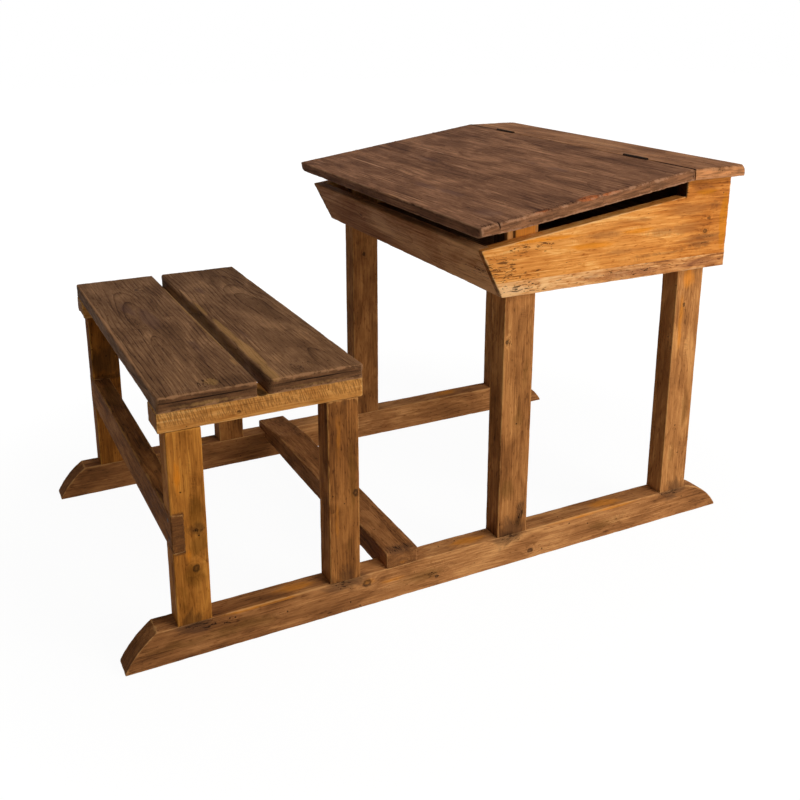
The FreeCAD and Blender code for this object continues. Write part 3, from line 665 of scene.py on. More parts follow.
def arris_distance(points, low, high, corners, quiet, end_rub):
    """Distance of a prism's points from its nearest arris; quiet edges of the section are joints."""
    ahead = np.roll(corners, -1, 0) - corners
    turn = turn_between(np.roll(ahead, 1, 0), ahead)
    open_edges = [i for i in range(len(corners)) if i not in quiet]
    section = points[:, 1:]
    end_gap = np.minimum(points[:, 0] - low, high - points[:, 0])
    nearest = np.hypot(end_gap, outline_distance(section, corners, open_edges)) / end_rub
    for i in open_edges:
        if abs(turn[i]) > SHARP_TURN and (i - 1) % len(corners) not in quiet:
            nearest = np.minimum(nearest, np.linalg.norm(section - corners[i], axis=1))
    return nearest


def inside_outline(points, corners):
    inside = np.zeros(len(points), bool)
    for (y0, z0), (y1, z1) in zip(corners, np.roll(corners, -1, 0)):
        crosses = (points[:, 1] < z0) != (points[:, 1] < z1)
        if z0 == z1:
            continue
        at = y0 + (points[:, 1] - z0) * (y1 - y0) / (z1 - z0)
        inside ^= crosses & (points[:, 0] < at)
    return inside


def filled_end(outline, spacing):
    """Triangles over an end face: its outline's points first, then a staggered grid inside it."""
    scale = np.array(spacing[1:])
    edge = outline / scale
    low, high = edge.min(0), edge.max(0)
    rows = []
    for r, z in enumerate(np.arange(low[1] + 0.5, high[1], ROW_STEP)):
        y = np.arange(low[0] + (0.25 if r % 2 else 0.75), high[0], 1.0)
        rows.append(np.stack([y, np.full(len(y), z)], 1))
    grid = np.concatenate(rows) if rows else np.zeros((0, 2))
    grid = grid[inside_outline(grid, edge)]
    grid = grid[outline_distance(grid, edge, range(len(edge))) > EDGE_MARGIN] if len(grid) else grid
    points = np.concatenate([edge, grid])
    result = delaunay_2d_cdt([Vector(p) for p in points], [], [list(range(len(edge)))], 1, 1e-5)
    source = [origin[0] for origin in result[3]]
    triangles = [[source[v] for v in face] for face in result[2]]
    return points[len(edge):] * scale, triangles


def prism(corners, low, high, arris, end_arris, spacing):
    """Vertices and faces of a board with rounded arrises, whose section runs along X."""
    walls, ends, ring, shared = section_points(corners, arris, end_arris, spacing)
    count, unique = len(walls), int(shared.max()) + 1
    first = np.array([np.flatnonzero(shared == u)[0] for u in range(unique)])
    fill, triangles = filled_end(ends[first], spacing)
    widest = ring.max()
    stations = max(1, math.ceil((high - low - 2 * widest) / spacing[0]))
    inner = np.linspace(low + widest, high - widest, stations + 1)[1:-1]
    points, places, rings = [], [], []

    def lay(section, x, index):
        rings.append(index + sum(len(p) for p in points))
        points.append(section)
        places.append(np.broadcast_to(x, len(section)))

    def lay_arris(end, depth, angles):
        for angle in angles:
            drawn, rise = 1 - math.cos(math.radians(angle)), 1 - math.sin(math.radians(angle))
            lay(walls + (ends - walls) * drawn, end + depth * rise, np.arange(count))

    lay(ends[first], low, shared)
    points.append(fill)
    places.append(np.full(len(fill), low))
    lay_arris(low, ring, ARRIS_ANGLES[::-1])
    for x in inner:
        lay(walls, x, np.arange(count))
    lay_arris(high, -ring, ARRIS_ANGLES)
    lay(ends[first], high, shared)
    last_end = sum(len(p) for p in points)
    points.append(fill)
    places.append(np.full(len(fill), high))
    section, x = np.concatenate(points), np.concatenate(places)
    faces = []
    for a, b in zip(rings, rings[1:]):
        quads = np.stack([a, np.roll(a, -1), np.roll(b, -1), b], 1)
        whole = (quads[:, 0] != quads[:, 1]) & (quads[:, 2] != quads[:, 3])
        faces += quads[whole].tolist()
        for quad in quads[~whole].tolist():
            distinct = list(dict.fromkeys(quad))
            if len(distinct) == 3:
                faces.append(distinct)
    outline_size = len(first)
    for triangle in triangles:
        faces.append(triangle[::-1])
        high_end = []
        for v in triangle:
            high_end.append(rings[-1][0] + v if v < outline_size else last_end + v - outline_size)
        faces.append(high_end)
    return np.column_stack([x, section]), faces


def put_attribute(mesh, name, kind, values):
    attribute = mesh.attributes.new(name, kind, "POINT")
    attribute.data.foreach_set("vector" if kind == "FLOAT_VECTOR" else "value",
                               np.ascontiguousarray(values, np.float32).ravel())


def coated(tree, geometry, finish):
    """Plain mesh of some geometry, in one finish."""
    whole = tree.add("GeometryNodeRealizeInstances", None, {"Geometry": geometry})
    return tree.add("GeometryNodeSetMaterial", None, {"Geometry": whole[0], "Material": finish})[0]


def make_weathering():
    """Geometry nodes that wear a board: nibbled arrises, a slight warp, grooves along the grain, dents."""
    tree, given, out = new_group(
        "board weathering", "GeometryNodeTree",
        [
            ("Board", GEOMETRY, None), ("Arris Loss", FLOAT, 0.001),
            ("Arris Reach", FLOAT, 0.005), ("Groove Depth", FLOAT, 0.0003),
            ("Warp Depth", FLOAT, 0.0004), ("Dent Depth", FLOAT, 0.0006),
            ("Finish", MATERIAL, None),
        ],
        [("Worn Board", GEOMETRY)],
    )

    place, edge = tree.named("place", "FLOAT_VECTOR"), tree.named("edge", "FLOAT")
    closeness = tree.span(edge / given["Arris Reach"], 0.0, 1.0, 1.0, 0.0)
    nibble = tree.span(tree.drawn_noise(place, 34.0, 70.0, 3.0, 0.6), 0.4, 0.74, 0.08, 1.0)
    groove = tree.span(tree.drawn_noise(place, 7.0, 150.0), 0.5, 0.72)
    warp = tree.span(tree.drawn_noise(place, 5.0, 14.0, 1.0), 0.3, 0.7)
    dent = tree.span(tree.drawn_noise(place, 46.0, 60.0, 1.0), 0.66, 0.8)
    depth = closeness * nibble * given["Arris Loss"] + groove * given["Groove Depth"]
    depth = (depth + warp * given["Warp Depth"] + dent * given["Dent Depth"]) * tree.named("loose", "FLOAT")
    inward = tree.scaled(tree.add("GeometryNodeInputNormal")[0], depth * -1.0)
    worn = tree.add("GeometryNodeSetPosition", None, {"Geometry": given["Board"], "Offset": inward})
    smooth = tree.add("GeometryNodeSetShadeSmooth", None, {"Geometry": worn[0]})
    out["Worn Board"] = coated(tree, smooth[0], given["Finish"])
    return tree.data


weathering = make_weathering()


def new_object(name, data):
    thing = bpy.data.objects.new(name, data)
    bpy.context.scene.collection.objects.link(thing)
    return thing


def grow(mesh, name, tree, values, cutters=()):
    """Plain mesh that a geometry tree, and then any cutters, make of a mesh."""
    blank = new_object(name + "_blank", mesh)
    modifier = blank.modifiers.new("shape", "NODES")
    modifier.node_group = tree
    for item in tree.interface.items_tree:
        if item.item_type == "SOCKET" and item.in_out == "INPUT" and item.name in values:
            modifier[item.identifier] = values[item.name]
    for cutter in cutters:
        cut = blank.modifiers.new("cut", "BOOLEAN")
        cut.operation, cut.solver, cut.object = "DIFFERENCE", "MANIFOLD", cutter
    bpy.context.view_layer.update()
    evaluated = blank.evaluated_get(bpy.context.evaluated_depsgraph_get())
    finished = bpy.data.meshes.new_from_object(evaluated)
    finished.name = name
    for modifier in list(blank.modifiers):
        blank.modifiers.remove(modifier)
    bpy.data.objects.remove(blank)
    for cutter in cutters:
        bpy.data.objects.remove(cutter)
    return new_object(name, finished)


def cutting_block(x0, x1, y0, y1, z0, z1):
    """Box that is cut away, in millimetres."""
    blank = bmesh.new()
    bmesh.ops.create_cube(blank, size=1.0)
    size = Vector((x1 - x0, y1 - y0, z1 - z0)) * MM
    middle = Vector((x1 + x0, y1 + y0, z1 + z0)) * MM / 2
    blank.transform(Matrix.Translation(middle) @ Matrix.Diagonal((*size, 1.0)))
    return finish_cutter("cutting_block", blank)


def cutting_prism(outline, x0, x1):
    """Prism of an outline in the YZ plane that is cut away, in millimetres."""
    blank = bmesh.new()
    low = [blank.verts.new((x0 * MM, y * MM, z * MM)) for y, z in outline]
    high = [blank.verts.new((x1 * MM, y * MM, z * MM)) for y, z in outline]
    blank.faces.new(low[::-1])
    blank.faces.new(high)
    for i in range(len(outline)):
        j = (i + 1) % len(outline)
        blank.faces.new([low[i], low[j], high[j], high[i]])
    return finish_cutter("cutting_prism", blank)


def finish_cutter(name, blank):
    bmesh.ops.recalc_face_normals(blank, faces=blank.faces)
    bmesh.ops.triangulate(blank, faces=blank.faces)
    mesh = bpy.data.meshes.new(name)
    blank.to_mesh(mesh)
    blank.free()
    return new_object(name, mesh)


COARSE = 1.0
LONG_STEP, CROSS_STEP = 6.0, 2.5          # mesh cells along and across the grain, mm
JOINT_HOLD = 5.0                          # a board keeps its shape this near a joint, mm
BOARD_SEED, SCREW_SEED = 4000, 11
KNOT_SQUASH = 0.75                        # a knot's width over its length along the grain
END_FACING, END_BLEND = 0.5, 0.4          # end grain shows where a face turns this far to the grain
MARK_RISE = 1.25                          # a mark has its full strength within a fifth of its reach
LIES = {"X": (X_AXIS, Y_AXIS, Z_AXIS), "Y": (Y_AXIS, Z_AXIS, X_AXIS), "Z": (Z_AXIS, Y_AXIS, X_AXIS)}


def cell_sizes(grain):
    """Mesh cells along X, Y and Z: long along the grain and fine across it."""
    fine, long = CROSS_STEP * COARSE * MM, LONG_STEP * COARSE * MM
    return [1 / np.hypot(abs(part) / long, math.sqrt(max(0.0, 1 - part ** 2)) / fine) for part in grain]


def offset_from(points, place, axes):
    """Offsets along, across and through a board from a place in millimetres."""
    return (points - np.array(place) * MM) @ axes.T


def knot_distance(points, axes, knots):
    """Distance from the nearest knot, in knot radii."""
    nearest = np.full(len(points), NO_KNOT)
    for *place, radius in knots:
        away = offset_from(points, place, axes) / (radius * MM)
        nearest = np.minimum(nearest, np.hypot(away[:, 0] * KNOT_SQUASH, away[:, 1]))
    return nearest


def marked(points, axes, marks):
    """How strongly each point lies in one kind of mark, from 0 to 1."""
    amount = np.zeros(len(points))
    for *place, reach, strength in marks:
        halves = reach if len(reach) == 3 else (*reach, reach[-1])
        distance = np.linalg.norm(offset_from(points, place, axes) / MM / halves, axis=1)
        amount = np.maximum(amount, strength * np.clip(MARK_RISE * (1 - distance), 0, 1))
    return amount


def facing_grain(mesh, grain):
    """How squarely each vertex of a mesh faces along the grain."""
    normals = np.zeros(len(mesh.vertices) * 3, np.float32)
    mesh.vertices.foreach_get("normal", normals)
    return np.abs(normals.reshape(-1, 3) @ grain)


def board(node, outline, x_range, finish, lie, arris=1.6, end_arris=1.6, wear=(0.5, 5.0),
          groove=0.15, warp=0.25, dent=0.25, tone=0.5, warm=0.0, knots=(), marks=None, heart=None,
          joints=(), cutters=(), reshape=None, end_rub=1.0, end_show=1.0):
    """A worn board in place of a CAD node.  Outline, places and depths are in millimetres.

    lie is the axis that the grain runs along, or three axes: along, across and through the board.
    wear is how deep the arrises are nibbled, and how far from them.
    knots are (x, y, z, radius).  marks are lists of (x, y, z, reach, strength) by the names in MARKS,
    where reach is the half lengths along and across the grain, and through the board if that differs.
    heart is how far the log's heart lies from the board's middle, across and through it.
    tone is one lightness, or several evenly spread along the grain.  end_show is how much end grain shows.
    joints are the outline's edges that lie against a neighbour and don't wear.
    end_rub above 1 widens the wear round both end faces.
    """
    axes = np.array(LIES[lie] if isinstance(lie, str) else lie)
    corners = np.array(outline, float) * MM
    arris = np.broadcast_to(np.array(arris, float) * MM, len(corners))
    end_arris = np.broadcast_to(np.array(end_arris, float) * MM, len(corners))
    low, high = (x * MM for x in x_range)
    points, faces = prism(corners, low, high, arris, end_arris, cell_sizes(axes[0]))
    edge = arris_distance(points, low, high, corners, joints, end_rub)
    loose = np.clip(outline_distance(points[:, 1:], corners, joints) / (JOINT_HOLD * MM), 0, 1)
    if reshape:
        points = reshape(points)
    mesh = bpy.data.meshes.new(node + "_blank")
    mesh.from_pydata(points, [], faces)
    mesh.update()
    chance = np.random.default_rng(BOARD_SEED + sorted(frame["nodes"]).index(node))
    if heart is None:
        heart = (chance.uniform(-40, 40), chance.choice([-1, 1]) * chance.uniform(28, 80))
    heart_offset = np.array([chance.uniform(1, 9), heart[0] * MM, heart[1] * MM])
    local = (points - (points.max(0) + points.min(0)) / 2) @ axes.T
    along = local[:, 0]
    tones = np.broadcast_to(tone, 2) if np.ndim(tone) == 0 else tone
    stops = np.linspace(along.min(), along.max(), len(tones))
    end = end_show * np.clip((facing_grain(mesh, axes[0]) - END_FACING) / END_BLEND, 0, 1)
    attributes = {
        "edge": edge, "loose": loose, "end": end, "tone": np.interp(along, stops, tones),
        "warm": np.full(len(points), warm), "knot": knot_distance(points, axes, knots),
    }
    for label in MARKS:
        attributes[label] = marked(points, axes, (marks or {}).get(label, ()))
    put_attribute(mesh, "grain", "FLOAT_VECTOR", local + heart_offset)
    put_attribute(mesh, "place", "FLOAT_VECTOR", points @ axes.T)
    for label, values in attributes.items():
        put_attribute(mesh, label, "FLOAT", values)
    values = {
        "Arris Loss": wear[0] * MM, "Arris Reach": wear[1] * MM, "Groove Depth": groove * MM,
        "Warp Depth": warp * MM, "Dent Depth": dent * MM, "Finish": finishes[finish],
    }
    piece = grow(mesh, "worn_" + node, weathering, values, cutters)
    if cutters:
        piece.data.set_sharp_from_angle(angle=CUT_TURN)
    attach(piece, frame["nodes"][node]["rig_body"])
    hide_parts(node)


# ---------------------------------------------------------------- places, in millimetres

HALF_FRAME, INNER_FRAME = 351.0, 307.0        # outer and inner faces of runners and legs
PANEL_OUTER, REBATE = 377.0, 364.0            # side panels' outer faces, and depth of their rebates
HALF_SEAT, HALF_TOP = 357.0, 405.0
RUNNER_TOP, SHELF, TOP = 64.0, 729.0, 750.0
TOE, TOE_HEIGHT = 627.0, 4.0                  # runners end at both -TOE and +TOE
FRONT_BEVEL, FRONT_BULGE = 86.0, 11.0         # length of a runner's rounded bevel, and rise over its chord
REAR_BEVEL, REAR_BULGE = 54.0, 5.0
BEVEL_PIECES = 10
BENCH_LEG, DESK_LEG = 57.0, 65.0              # depth of the legs along the desk
BENCH_LEG_BACKS = {"rear": -538.5, "front": -271.0}
DESK_LEG_BACKS = {"front": 71.5, "rear": 470.0}
LEG_PLACES = ([(back, BENCH_LEG) for back in BENCH_LEG_BACKS.values()]
              + [(back, DESK_LEG) for back in DESK_LEG_BACKS.values()])
BEARER_LOW, BEARER_TOP, SEAT_TOP = 405.0, 439.0, 465.0
BEARER_BACK, BEARER_FRONT, BEARER_WIDTH = -550.0, -206.0, 58.0
REAR_PLANK, FRONT_PLANK = (-549.0, -390.0), (-370.0, -207.0)
PLANK_STEP_Z, PLANK_STEP = 456.0, 2.2         # planks' end faces are set back below this height, by this
STRETCHER = (-538.5, -504.5, 197.0, 262.0)    # back, front, bottom, top
STRETCHER_END = 19.5                          # thickness of its ends, housed in the legs
FOOTREST = (-162.0, -100.0, 50.0, 94.0)
FOOTREST_WEAR, FOOTREST_DROP = 150.0, 14.0    # length and depth of the worn left end
BOX_BOTTOM, STRIP_TOP = 549.0, 576.0
BOARD_LOW, BOARD_HIGH = 569.0, 581.0          # bottom board
BACK_THICKNESS = 18.0
CLEAT_Y, CLEAT_WIDTH = (136.5, 470.0), 20.0
BOX_FOOT_Y, BOX_FRONT_Y, BOX_REAR_Y = 47.5, 3.5, 561.0
SHELF_FRONT_Y = 450.0
LID_FRONT_Y, LID_BACK_Y, RAIL_FRONT_Y, RAIL_BACK_Y = -16.5, 440.4, 442.6, 573.0
LID_DROP, BOARD_THICKNESS = 66.0, 21.0
FIRST_BOARD, BOARD_COUNT = 37.0, 5
BATTEN_X, BATTEN_THICKNESS = (192.0, 237.0), 18.0
BATTEN_START, BATTEN_SHORT = 75.0, 40.0       # how far battens stop from the lid's front and back
FRONT_GAP, REAR_GAP = 29.0, 36.0              # from the lid's underside to the side panels, at each end
LEG_GAP = 0.25                                # from the lid's underside to the front desk legs
OVERCUT = 5.0                                 # how far cutters run past the faces that they cut
HINGE_Y, HINGE_Z, HINGE_MIDDLE, HINGE_REACH = 441.5, 750.0, 236.0, 35.9
KNUCKLE_SPACE = 3.8

lid_slope = LID_DROP / (LID_BACK_Y - LID_FRONT_Y)
lid_pitch = math.atan(lid_slope)
pitch_cos, pitch_sin = math.cos(lid_pitch), math.sin(lid_pitch)
lid_length = (LID_BACK_Y - LID_FRONT_Y) / pitch_cos


def lid_top_at(y):
    return TOP - (LID_BACK_Y - y) * lid_slope


def lid_under_at(y):
    return lid_top_at(y) - BOARD_THICKNESS / pitch_cos


def lid_point(distance, depth):
    """(y, z) at a distance up the lid's slope from its front edge and a depth below its top."""
    y = LID_FRONT_Y + distance * pitch_cos
    return y + depth * pitch_sin, lid_top_at(y) - depth * pitch_cos


panel_front_z = lid_under_at(BOX_FRONT_Y) - FRONT_GAP
panel_step_z = lid_under_at(SHELF_FRONT_Y) - REAR_GAP
panel_slope = (panel_step_z - panel_front_z) / (SHELF_FRONT_Y - BOX_FRONT_Y)
front_lean = (BOX_FOOT_Y - BOX_FRONT_Y) / (panel_front_z - BOX_BOTTOM)
front_reach = BOARD_THICKNESS / math.cos(math.atan(front_lean))


def front_face_at(z):
    """y of the box's leaning front."""
    return BOX_FOOT_Y - (z - BOX_BOTTOM) * front_lean


def oblong(y0, y1, z0, z1):
    return [(y0, z0), (y1, z0), (y1, z1), (y0, z1)]


def toe_curve(toe, shoulder, bulge):
    """Points along the rounded rise from a toe to its shoulder, both ends left out."""
    toe, shoulder = Vector(toe), Vector(shoulder)
    chord = shoulder - toe
    upward = Vector((-chord.y, chord.x)) if chord.x > 0 else Vector((chord.y, -chord.x))
    upward.normalize()
    half = chord.length / 2
    radius = (half ** 2 + bulge ** 2) / (2 * bulge)
    centre = toe + chord / 2 - upward * (radius - bulge)
    reach = math.asin(half / radius)
    points = []
    for k in range(1, BEVEL_PIECES):
        angle = reach * (2 * k / BEVEL_PIECES - 1)
        around = upward * radius * math.cos(angle), chord.normalized() * radius * math.sin(angle)
        points.append(tuple(centre + around[0] + around[1]))
    return points


# ---------------------------------------------------------------- the boards


def both(make):
    for side, sign in (("right", 1), ("left", -1)):
        make(side, sign)


def across(sign, x0, x1):
    return (x0, x1) if sign > 0 else (-x1, -x0)


def over_frames(reach):
    """Ranges of x over both frames, run out past their outer faces."""
    return [across(sign, INNER_FRAME, HALF_FRAME + reach) for sign in (1, -1)]


def on_face(x, marks):
    """Marks given as (y, z, reach, strength), on a board's face at x."""
    return {label: [(x, *spot) for spot in spots] for label, spots in marks.items()}


def on_top(z, marks):
    """Marks given as (x, y, reach, strength), on a board's face at a height."""
    return {label: [(x, y, z, *rest) for x, y, *rest in spots] for label, spots in marks.items()}


def make_runner(side, sign):
    front, front_shoulder = (TOE, TOE_HEIGHT), (TOE - FRONT_BEVEL, RUNNER_TOP)
    rear, rear_shoulder = (-TOE, TOE_HEIGHT), (-TOE + REAR_BEVEL, RUNNER_TOP)
    outline = [(-TOE, 0), (TOE, 0), front, *toe_curve(front, front_shoulder, FRONT_BULGE),
               front_shoulder, rear_shoulder, *toe_curve(rear, rear_shoulder, REAR_BULGE)[::-1], rear]
    smooth = [0] * (BEVEL_PIECES - 1)
    corner = [1.0, 1.0, 1.0, *smooth, 1.6, 2.0, *smooth, 1.0]
    face = sign * HALF_FRAME
    if side == "right":
        knots = [(face, -201.5, 46.6, 6), (face, 148, 17.5, 4.5), (face, -60, 20, 3)]
    else:
        knots = [(INNER_FRAME * sign, 20, 38, 5), (INNER_FRAME * sign, -330, 30, 4)]
    legs = [back + depth / 2 for back, depth in LEG_PLACES]
    marks = on_face(face, {
        "smear": [(y, RUNNER_TOP, (64, 40), 1.0) for y in legs],
        "bare": [*[(y, RUNNER_TOP - 2, (110, 7), 0.6) for y in (-420, -380, 250, 360)],
                 (-201.5, 48, (26, 12), 0.5), (-150, 40, (50, 10), 0.5)],
        "shade": [(y, 30, (90, 22), 0.7) for y in (-560, -440, -90, 330)],
        "poor": [*[(y, RUNNER_TOP - 6, (52, 14), 0.8) for y in legs],
                 (-470, 50, (60, 12), 0.7), (-60, 26, (110, 12), 0.5)],
        "packed": [(y + 6, RUNNER_TOP - 3, (34, 9), 0.36) for y in legs],
    })
    marks["bare"] += [(face - sign * 20, y, RUNNER_TOP, (70, 24), 0.6) for y in (-330, 20, 340)]
    board(side + "_runner", outline, across(sign, INNER_FRAME, HALF_FRAME), "frame_wood", "Y",
          arris=corner, end_arris=1.8, wear=(0.7, 6.0), groove=0.2, warp=0.3,
          tone=(0.32, 0.44, 0.54, 0.7, 0.66, 0.5, 0.44), knots=knots, marks=marks, heart=(70, 46 * sign))


def make_leg(sign, node, back, depth, top, tone, warm, knots=(), marks=None, cutters=()):
    outline = oblong(back, back + depth, RUNNER_TOP, 0)
    outline[2], outline[3] = (back + depth, top[1]), (back, top[0])
    board(node, outline, across(sign, INNER_FRAME, HALF_FRAME), "frame_wood", "Z",
          arris=(0.5, 0.5, 1.6, 1.6), end_arris=(0.5, 1.8, 1.0, 1.8), wear=(0.5, 5.0), joints=(0,),
          tone=tone, warm=warm, knots=knots, marks=marks, cutters=cutters)


def make_bench_legs(side, sign):
    face = sign * HALF_FRAME
    back = BENCH_LEG_BACKS["rear"]
    housing = cutting_block(-HALF_FRAME - 1, HALF_FRAME + 1, back - 1, back + STRETCHER_END,
                            *STRETCHER[2:])
    knots = [(face, -502.8, 162.4, 5)] if side == "right" else [(face - sign * 44, -500, 180, 3)]
    marks = on_face(face, {
        "smear": [(-498, 232, (22, 30), 0.9), (-510, 66, (34, 50), 0.9)],
        "shade": [(-500, 262, (60, 20), 0.9), (-499, 205, (36, 24), 0.9),
                  (-506, 152, (34, 30), 0.8), (-525, 105, (60, 22), 0.6)],
        "poor": [(-493, 230, (7, 26), 0.9)],
        "bare": [(-524, 330, (70, 12), 0.5), (-512, 190, (26, 14), 0.4)],
    })
    tone = (0.47, 0.46, 0.6)
    if side == "left":
        tone = (0.44, 0.32, 0.24)
        marks["smear"].append((-INNER_FRAME, -508, 300, (60, 60, 40), 1.0))
        marks["packed"] = [(-INNER_FRAME, -510, 264, (12, 90, 30), 0.42)]
    make_leg(sign, side + "_rear_bench_leg", back, BENCH_LEG, (BEARER_LOW,) * 2, tone, 1.0,
             knots, marks, (housing,))
    knots = [(face, -221.5, 229.7, 4.5)] if side == "right" else [(face - sign * 44, -240, 140, 3)]
    marks = on_face(face, {
        "smear": [(-242, 66, (44, 50), 0.9), (-242, 402, (16, 40), 0.7)],
        "shade": [(-227, 290, (80, 13), 0.9), (-226, 215, (60, 12), 0.8), (-233, 130, (50, 16), 0.7)],
        "bare": [(-252, 340, (80, 10), 0.4), (-256, 180, (90, 9), 0.35)],
    })
    make_leg(sign, side + "_front_bench_leg", BENCH_LEG_BACKS["front"], BENCH_LEG,
             (BEARER_LOW,) * 2, (0.38, 0.4, 0.3), 0.45, knots, marks)


def make_desk_legs(side, sign):
    face = sign * HALF_FRAME
    back = DESK_LEG_BACKS["front"]
    top = (lid_under_at(back) - LEG_GAP, lid_under_at(back + DESK_LEG) - LEG_GAP)
    knots = [(face, 78.5, 455.4, 3)] if side == "right" else [(-INNER_FRAME, 100, 470, 3.5)]
    marks = on_face(face, {
        "smear": [(122, 112, (40, 14), 1.0), (100, 66, (50, 56), 1.0), (90, 646, (40, 2.2), 1.0)],
        "shade": [(94, 165, (34, 26), 0.8), (108, 300, (70, 20), 0.6), (122, 400, (60, 12), 0.6)],
        "bare": [(108, 655, (40, 36), 1.0), (126, 112, (22, 8), 0.35)],
        "packed": [(116, 88, (30, 20), 0.42), (96, 66, (12, 36), 0.42), (86, 656, (70, 4.2, 8), 1.0)],
        "poor": [(120, 106, (36, 14), 1.0), (84, 455, (20, 10), 0.8)],
    })
    # Painted shade: a packed-dirt mark darkens the leg's face towards -Y at its top, in the gap under the
    # lid.
    marks["packed"].append((face - sign * 30, back, 650, (44, 2.2, 34), 1.0))
    # The tone's last value of 1.0 and the bare patch at z 655 lighten the leg's top, which the lid shades:
    # painted light over worn wood.
    tone = (0.36, 0.42, 0.42, 0.44, 0.48, 0.54, 0.58, 0.62, 0.66, 1.0)
    make_leg(sign, side + "_front_desk_leg", back, DESK_LEG, top, tone, 0.25, knots, marks)
    knots = [(face, 492, 470, 3)] if side == "right" else [(-INNER_FRAME, 500, 300, 3)]
    # Painted shade: smear and packed-dirt marks darken the leg's upper face towards -Y, inside the box
    # where no light reaches.
    inside = (face - sign * 22, DESK_LEG_BACKS["rear"], 690, (90, 3, 60), 1.0)
    marks = on_face(face, {
        "smear": [(508, 66, (44, 50), 0.9)], "packed": [],
        "shade": [(520, 250, (90, 14), 0.6), (492, 150, (50, 16), 0.7)],
        "bare": [(486, 420, (120, 14), 0.55), (498, 525, (40, 30), 0.55)],
    })
    marks["smear"].append(inside)
    marks["packed"].append(inside)
    make_leg(sign, side + "_rear_desk_leg", DESK_LEG_BACKS["rear"], DESK_LEG, (SHELF,) * 2,
             (0.62, 0.58, 0.84), 0.2, knots, marks)


def make_bearer(side, sign):
    face = sign * HALF_FRAME
    board(side + "_bench_bearer", oblong(BEARER_BACK, BEARER_FRONT, BEARER_LOW, BEARER_TOP),
          across(sign, HALF_FRAME - BEARER_WIDTH, HALF_FRAME), "bearer_wood", "Y",
          arris=(2.5 if sign > 0 else 12.0, 2.5, 1.5, 1.5), end_arris=1.6, wear=(0.7, 6.0),
          tone=0.55, warm=0.1, knots=[(face, -420, 418, 2.5)], heart=(60, 60 * sign),
          marks=on_face(face, {
              "sawn": [(y, 430, (170, 22), 1.0) for y in (-480, -380, -280)],
              "smear": [(y, 440, (170, 5), 0.8) for y in (-480, -380, -280)],
              # painted shade on the bearer's top in the gap between the planks
              "packed": [(-380, BEARER_TOP, (13, 3, 60), 0.8)],
              "shade": [(-300, 412, (80, 10), 0.6)],
          }))


def blunt_rear_corners(points, radius=13.0, blend=8.0):
    """Wear the two top rear corners of the rail round."""
    away = np.column_stack([np.abs(points[:, 0]), points[:, 1], points[:, 2]]) / MM
    centre = away.max(0) - radius
    beyond = np.clip(away - centre, 0, None)
    length = np.linalg.norm(beyond, axis=1)
    share = np.clip(beyond[:, 0] / blend, 0, 1) * np.clip(beyond[:, 1] / blend, 0, 1)
    share *= np.clip(1 - radius / np.maximum(length, radius), 0, 1)
    away -= beyond * share[:, None]
    return np.column_stack([np.sign(points[:, 0]) * away[:, 0], away[:, 1], away[:, 2]]) * MM


def worn_ends(corner_radii, slope=2.5, length=4.0, blend_length=3.0, drawn_out=2.5):
    """Round a plank's corners at both ends as seen from above, and set its end faces' lower part back."""
    def reshape(points):
        x, y, z = np.abs(points[:, 0]) / MM, points[:, 1] / MM, points[:, 2] / MM
        half = x.max()
        depth = PLANK_STEP * np.clip((PLANK_STEP_Z - z) / slope, 0, 1)
        depth *= np.clip((x - (half - length)) / blend_length, 0, 1)
        for side, radius in zip((y - y.min(), y.max() - y), corner_radii):
            beyond = np.clip(radius - side, 0, radius)
            reach = drawn_out * radius
            blend = np.clip((x - (half - reach)) / reach, 0, 1)
            depth += (radius - np.sqrt(radius ** 2 - beyond ** 2)) * blend
        worn = points.copy()
        worn[:, 0] -= np.sign(points[:, 0]) * depth * MM
        return worn
    return reshape


